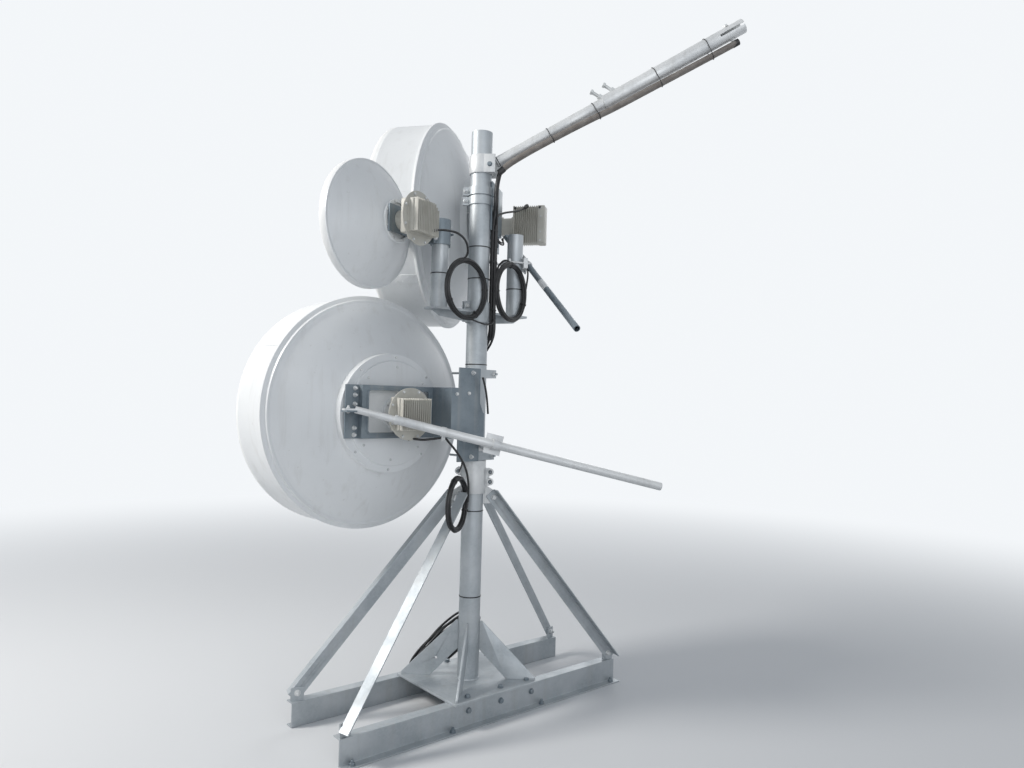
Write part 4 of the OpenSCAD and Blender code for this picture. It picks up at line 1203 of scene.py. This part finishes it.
for name, row in jumperRows.items():
    route = row["route"]
    cable = tube(name, route, cableSettings["thin"])
    along = Vector(route[1]) - Vector(route[0])
    plug = turned("plug", jumperPlug, shift(*route[0]) @ towards(along), 16)
    finishPiece(joined(name, [cable, plug]), "cable_jacket", nodes=[row["node"]], degrees=45)

# Loose lengths: from the left coil under the clamp to the trunk, and thin leads at the mast
looseRows = [
    (0.0045, [(-0.190, -0.112, 2.040), (-0.130, -0.116, 2.028), (-0.060, -0.104, 2.017),
              (0.000, -0.086, 2.014), (0.046, -0.072, 2.026), (0.070, -0.056, 2.060),
              (0.072, -0.052, 2.120)]),
    (0.0055, [(0.150, -0.100, 2.350), (0.120, -0.090, 2.372), (0.095, -0.062, 2.350),
              (0.084, -0.050, 2.290)]),
    (0.0042, [(0.078, -0.036, 2.520), (0.105, -0.020, 2.500), (0.150, 0.000, 2.487),
              (0.190, 0.030, 2.500), (0.214, 0.062, 2.530)]),
    (0.0042, [(0.078, -0.040, 2.500), (0.110, -0.024, 2.482), (0.150, -0.006, 2.474),
              (0.188, 0.022, 2.488), (0.206, 0.062, 2.524)]),
    (0.0050, [(0.300, -0.050, 2.385), (0.306, -0.055, 2.330), (0.300, -0.055, 2.270),
              (0.288, -0.054, 2.205)]),
    (0.0055, [(-0.027, -0.097, 1.731), (-0.016, -0.097, 1.700), (-0.004, -0.096, 1.662),
              (0.008, -0.095, 1.600), (0.016, -0.094, 1.539)]),
    (0.0042, [(-0.166, -0.122, 1.288), (-0.172, -0.122, 1.268), (-0.182, -0.118, 1.244)]),
]
loose = [tube("looseCable", route, radius, sides=2) for radius, route in looseRows]
finishPiece(joined("looseCables", loose), "cable_jacket", degrees=60)
print("cables done")


# Ties round the mast, the stubs and the trunk
pipeTieRows = [((0, 0, z), 0.05735) for z in (0.565, 1.020, 1.801, 2.263, 2.434)]
pipeTieRows += [((-0.255, 0, 2.262), 0.0446), ((0.255, 0, 2.235), 0.0446)]
trunkTieRows = [((0.067, -0.042, z), 0.0202) for z in (2.10, 2.36, 2.53)]
trunkTieRows += [((0.022, 0.079, z), 0.0140) for z in (0.62, 0.88, 1.10, 1.32, 1.52, 1.70)]
tieTurns = {"least": -0.4, "most": 0.9, "perMetre": 3, "pipeWidth": 0.0055}
ties = []
for point, radius in pipeTieRows:
    spin = Matrix.Rotation(random.uniform(tieTurns["least"], tieTurns["most"]), 4, "Z")
    ties.append(tie("mastTie", radius, shift(*point) @ spin, tieTurns["pipeWidth"]))
for point, radius in trunkTieRows:
    spin = Matrix.Rotation(point[2] * tieTurns["perMetre"], 4, "Z")
    ties.append(tie("trunkTie", radius, shift(*point) @ spin))
finishPiece(joined("mastTies", ties), "cable_jacket")


# Stay: flexible conduit under it with end ferrules and belts, set bolts and end bolt
staySettings = {
    "height": 2.851,
    "bearing": 45,  # from +X toward -Y
    "rise": 29.5,
    "boltAt": 1.500,
    "boltFace": 0.0372,
    "boltSize": 1.25,
}
stayTurn = turn(-staySettings["bearing"]) @ turn(-staySettings["rise"], "Y")
stayFrame = shift(0, 0, staySettings["height"]) @ stayTurn
conduitSettings = {
    "radius": 0.0165,
    "route": [(0.078, -0.036, -0.066), (0.130, -0.037, -0.054), (0.220, -0.039, -0.048),
              (0.400, -0.036, -0.047), (0.600, -0.031, -0.051), (0.700, -0.028, -0.055),
              (0.760, -0.026, -0.058), (1.000, -0.018, -0.061), (1.300, -0.008, -0.063),
              (1.520, 0.0, -0.063)],
    "ferrule": [(0.0176, 0), (0.0176, 0.034), (0.0168, 0.036), (0.0150, 0.036), (0.0150, 0)],
    "ferruleSides": 24,
    "startAlong": (1, -0.02, 0.22),
    "endAlong": (-1, 0.03, 0),
}


def conduitRun(settings):
    route = settings["route"]
    run = tube("conduitRun", route, settings["radius"], stayFrame, sides=5, steps=8)
    finishPiece(run, "conduit_jacket", nodes=["stay_conduit"], degrees=60)
    ferrules = []
    for point, along in ((route[0], settings["startAlong"]), (route[-1], settings["endAlong"])):
        ferrules.append(turned("ferrule", settings["ferrule"], stayFrame @ shift(*point) @ towards(along),
                               settings["ferruleSides"], ring=True))
    finishPiece(joined("conduitFerrules", ferrules), "conduit_jacket", "cable_jacket")


# Belts round the stay and the conduit, as (place along the stay, the conduit's middle, the stay's radius)
beltSettings = {
    "rows": [(0.104, -0.0380, -0.0420, 0.0302), (0.415, -0.0355, -0.0474, 0.0302),
             (0.690, -0.0282, -0.0551, 0.0302), (1.057, -0.0165, -0.0614, 0.0381),
             (1.362, -0.0060, -0.0630, 0.0381)],
    "gap": 0.0022,
    "lowRadius": 0.0195,
    "split": -0.25,  # below this sine the belt follows the conduit
    "points": 20,
    "thick": 0.0020,
}


def stayBelts(settings):
    belts = []
    for along, side, below, pipeRadius in settings["rows"]:
        reach = pipeRadius + settings["gap"]
        low = settings["lowRadius"]
        points = []
        for i in range(settings["points"]):
            angle = 2 * math.pi * i / settings["points"]
            y, z = math.cos(angle), math.sin(angle)
            if z > settings["split"]:
                points.append((along, y * reach, z * reach))
            else:
                points.append((along, side + y * low, below + z * low))
        belts.append(tube("belt", points, settings["thick"], stayFrame, closed=True, sides=1, steps=3))
    finishPiece(joined("stayBelts", belts), "cable_jacket")


setBoltSettings = {
    "along": (0.768, 0.842),
    "lean": (-0.50, -0.10, 0.85),
    "boss": [(0.0180, 0.034), (0.0180, 0.052), (0.0165, 0.054)],
    "shank": [(0.0090, 0.045), (0.0090, 0.097), (0.0080, 0.098)],
    "head": [(0.0160, 0.090), (0.0160, 0.101), (0.0145, 0.103)],
    "shankSides": 14,
}


def staySetBolts(settings):
    lean = Vector(settings["lean"]).normalized()
    parts = []
    for along in settings["along"]:
        spot = stayFrame @ shift(along, 0, 0) @ towards(lean)
        parts.append(turned("boss", settings["boss"], spot, 6))
        parts.append(turned("shank", settings["shank"], spot, settings["shankSides"]))
        parts.append(turned("boltHead", settings["head"], spot, 6))
    finishPiece(joined("staySetBolts", parts), "galvanised_steel", "zinc", degrees=30)


def stayEndBolt(settings):
    rows = [("head", (settings["boltAt"], 0, settings["boltFace"]), (0, 0, 1)),
            ("nut", (settings["boltAt"], 0, -settings["boltFace"]), (0, 0, -1))]
    fastened("stayEndBolt", rows, stayFrame, settings["boltSize"])


conduitRun(conduitSettings)
stayBelts(beltSettings)
staySetBolts(setBoltSettings)
stayEndBolt(staySettings)
print("stay fittings done")


# Weld bead where the mast stands on its base plate
weldRows = [(0.0570, 0.132), (0.0640, 0.132), (0.0625, 0.1355), (0.0590, 0.1385), (0.0570, 0.139)]
finishPiece(turned("weldBeads", weldRows, ring=True), "galvanised_steel", degrees=60)
print("welds done")


# Adaptor between hub and radio neck, seen through the bracket's window
adaptorSettings = {
    "rows": [(0.048, -0.020), (0.074, -0.020), (0.076, -0.018), (0.076, -0.004), (0.078, -0.002),
             (0.078, 0.0), (0.048, 0.0)],
    "sides": 56,
    "circle": 0.066,
    "screws": 6,
    "face": -0.020,
    "size": 0.42,
}
adaptorPlaces = {"lowerAdaptor": lowerDrum, "upperAdaptor": upperDrum}
for name, place in adaptorPlaces.items():
    adaptor = turned(name, adaptorSettings["rows"], place @ forward, adaptorSettings["sides"], ring=True)
    finishPiece(adaptor, "drum_paint")
for name, place in adaptorPlaces.items():
    boltCircle(name + "Screws", place, adaptorSettings["circle"], adaptorSettings["screws"],
               adaptorSettings["face"], adaptorSettings["size"])
print("adaptors done")


# Stay clamp round the mast, split on its far side, with the plate that the stay is bolted to
stayClampSettings = {
    "height": 2.88,
    "bearing": 135,
    "sleeve": [(0.0572, -0.050), (0.0640, -0.050), (0.0652, -0.048), (0.0652, 0.048), (0.0640, 0.050),
               (0.0572, 0.050)],
    "sides": 72,
    "tongue": ((-0.006, 0.060, -0.044), (0.006, 0.115, 0.044)),
    "earFrom": -0.098,
    "earTo": -0.062,
    "earAside": 0.008,
    "earTall": 0.048,
    "plateHalf": 0.004,
    "cheekAside": 0.058,
    "cheekFrom": 0.018,
    "cheekTo": 0.082,
    "cheekTall": 0.050,
    "boltsAt": -0.080,
    "boltFace": 0.012,
    "boltHeights": (-0.03, 0.0, 0.03),
    "boltSize": 1.05,
    "rootBolt": (0.062, 0.052, -0.006),
    "rootSize": 1.1,
}


def stayClamp(settings):
    place = shift(0, 0, settings["height"]) @ turn(-settings["bearing"])
    half, earTall, cheekTall = settings["plateHalf"], settings["earTall"], settings["cheekTall"]
    parts = [turned("sleeve", settings["sleeve"], place, settings["sides"], ring=True)]
    parts.append(block("tongue", *settings["tongue"], place, 0.0025))
    for side in (-1, 1):
        middle = side * settings["earAside"]
        parts.append(block("ear", (settings["earFrom"], middle - half, -earTall),
                           (settings["earTo"], middle + half, earTall), place, 0.002))
    for side in (-1, 1):
        middle = side * settings["cheekAside"]
        parts.append(block("cheek", (middle - half, settings["cheekFrom"], -cheekTall),
                           (middle + half, settings["cheekTo"], cheekTall), place, 0.003))
    # The clamp takes the lighter copy of the galvanised finish as painted sunlight
    finishPiece(joined("stayClampBody", parts), "galvanised_steel", "bright", nodes=["stay_clamp"])
    x, face = settings["boltsAt"], settings["boltFace"]
    rows = [("head", (x, -face, z), (0, -1, 0)) for z in settings["boltHeights"]]
    rows += [("nut", (x, face, z), (0, 1, 0)) for z in settings["boltHeights"]]
    fastened("stayClampBolts", rows, place, settings["boltSize"])
    x, y, z = settings["rootBolt"]
    fastened("stayRootBolts", [("head", (x, y, z), (1, 0, 0)), ("nut", (-x, y, z), (-1, 0, 0))], place,
             settings["rootSize"], "weathered_steel")


# Sockets on the collar with their nuts and small plates
collarEyeSettings = {
    "points": [(0.0700, -0.0590, 1.226), (0.0700, -0.0590, 1.174), (-0.0610, 0.0515, 1.229)],
    "along": (-0.645, -0.764, 0),
    "hole": 0.0115,
    "outer": 0.0185,
    "edge": 0.002,
    "long": 0.034,
    "sides": 36,
    "bearing": 40.2,  # of the plates, square to the sockets
    "plates": [((0.058, -0.004, 1.152), (0.088, 0.004, 1.248)),
               ((-0.082, -0.004, 1.205), (-0.058, 0.004, 1.252))],
    "nutOut": 0.002,
    "nutSize": 0.85,
}


def collarEyes(settings):
    along = Vector(settings["along"])
    hole, outer, long, edge = settings["hole"], settings["outer"], settings["long"], settings["edge"]
    profile = [(hole, 0), (outer, 0), (outer, long - edge), (outer - edge, long), (hole, long)]
    parts = []
    for point in settings["points"]:
        spot = Matrix.Translation(Vector(point) - along * long / 2) @ towards(along)
        parts.append(turned("eye", profile, spot, settings["sides"], ring=True))
    for low, high in settings["plates"]:
        parts.append(block("eyePlate", low, high, turn(-settings["bearing"]), 0.001))
    # The sockets and plates take the lighter copy of the galvanised finish as painted sunlight
    finishPiece(joined("collarEyes", parts), "galvanised_steel", "bright", degrees=40)
    # Dark weathered nuts fill the sockets' holes as painted shade
    rows = [("nut", Vector(point) + along * settings["nutOut"], along) for point in settings["points"]]
    fastened("collarEyeNuts", rows, size=settings["nutSize"], finish="weathered_steel")


# Pipe clip that carries the radio's lead on the lower strut, and white tape round the upper one
strutSettings = {
    "lowerStart": (-0.743, -0.043, 1.552),
    "lowerEnd": (0.687, -0.718, 1.183),
    "clipShare": 0.268,
    "clip": [(0.0213, -0.011), (0.0236, -0.011), (0.0236, 0.011), (0.0213, 0.011)],
    "clipEar": ((-0.010, -0.003, -0.044), (0.010, 0.003, -0.022)),
    "clipBolt": (0.003, -0.034),
    "clipBoltSize": 0.6,
    "upperStart": (0.520, 0.470, 2.700),
    "upperEnd": (0.080, -0.680, 1.965),
    "tapeShare": 0.602,
    "tape": [(0.01685, 0), (0.0176, 0.0008), (0.0176, 0.100), (0.01685, 0.1008)],
    "sides": 40,
}


def strutClip(settings):
    start, end = Vector(settings["lowerStart"]), Vector(settings["lowerEnd"])
    along = (end - start).normalized()
    foot = Matrix.Translation(start.lerp(end, settings["clipShare"]))
    clip = turned("strutClip", settings["clip"], foot @ towards(along), settings["sides"], ring=True)
    ear = block("clipEar", *settings["clipEar"], foot, 0.001)
    # The clip takes the lighter copy of the galvanised finish as painted sunlight
    finishPiece(joined("strutClip", [clip, ear]), "galvanised_steel", "bright")
    face, z = settings["clipBolt"]
    rows = [("head", (0, -face, z), (0, -1, 0)), ("nut", (0, face, z), (0, 1, 0))]
    fastened("strutClipBolt", rows, foot, settings["clipBoltSize"])


def strutTape(settings):
    start, end = Vector(settings["upperStart"]), Vector(settings["upperEnd"])
    along = (end - start).normalized()
    place = Matrix.Translation(start.lerp(end, settings["tapeShare"])) @ towards(along)
    finishPiece(turned("strutTape", settings["tape"], place, settings["sides"], ring=True), "radome")


stayClamp(stayClampSettings)
collarEyes(collarEyeSettings)
strutClip(strutSettings)
strutTape(strutSettings)
print("stay clamp, collar and strut fittings done")

for master in masters.values():
    bpy.data.objects.remove(master)
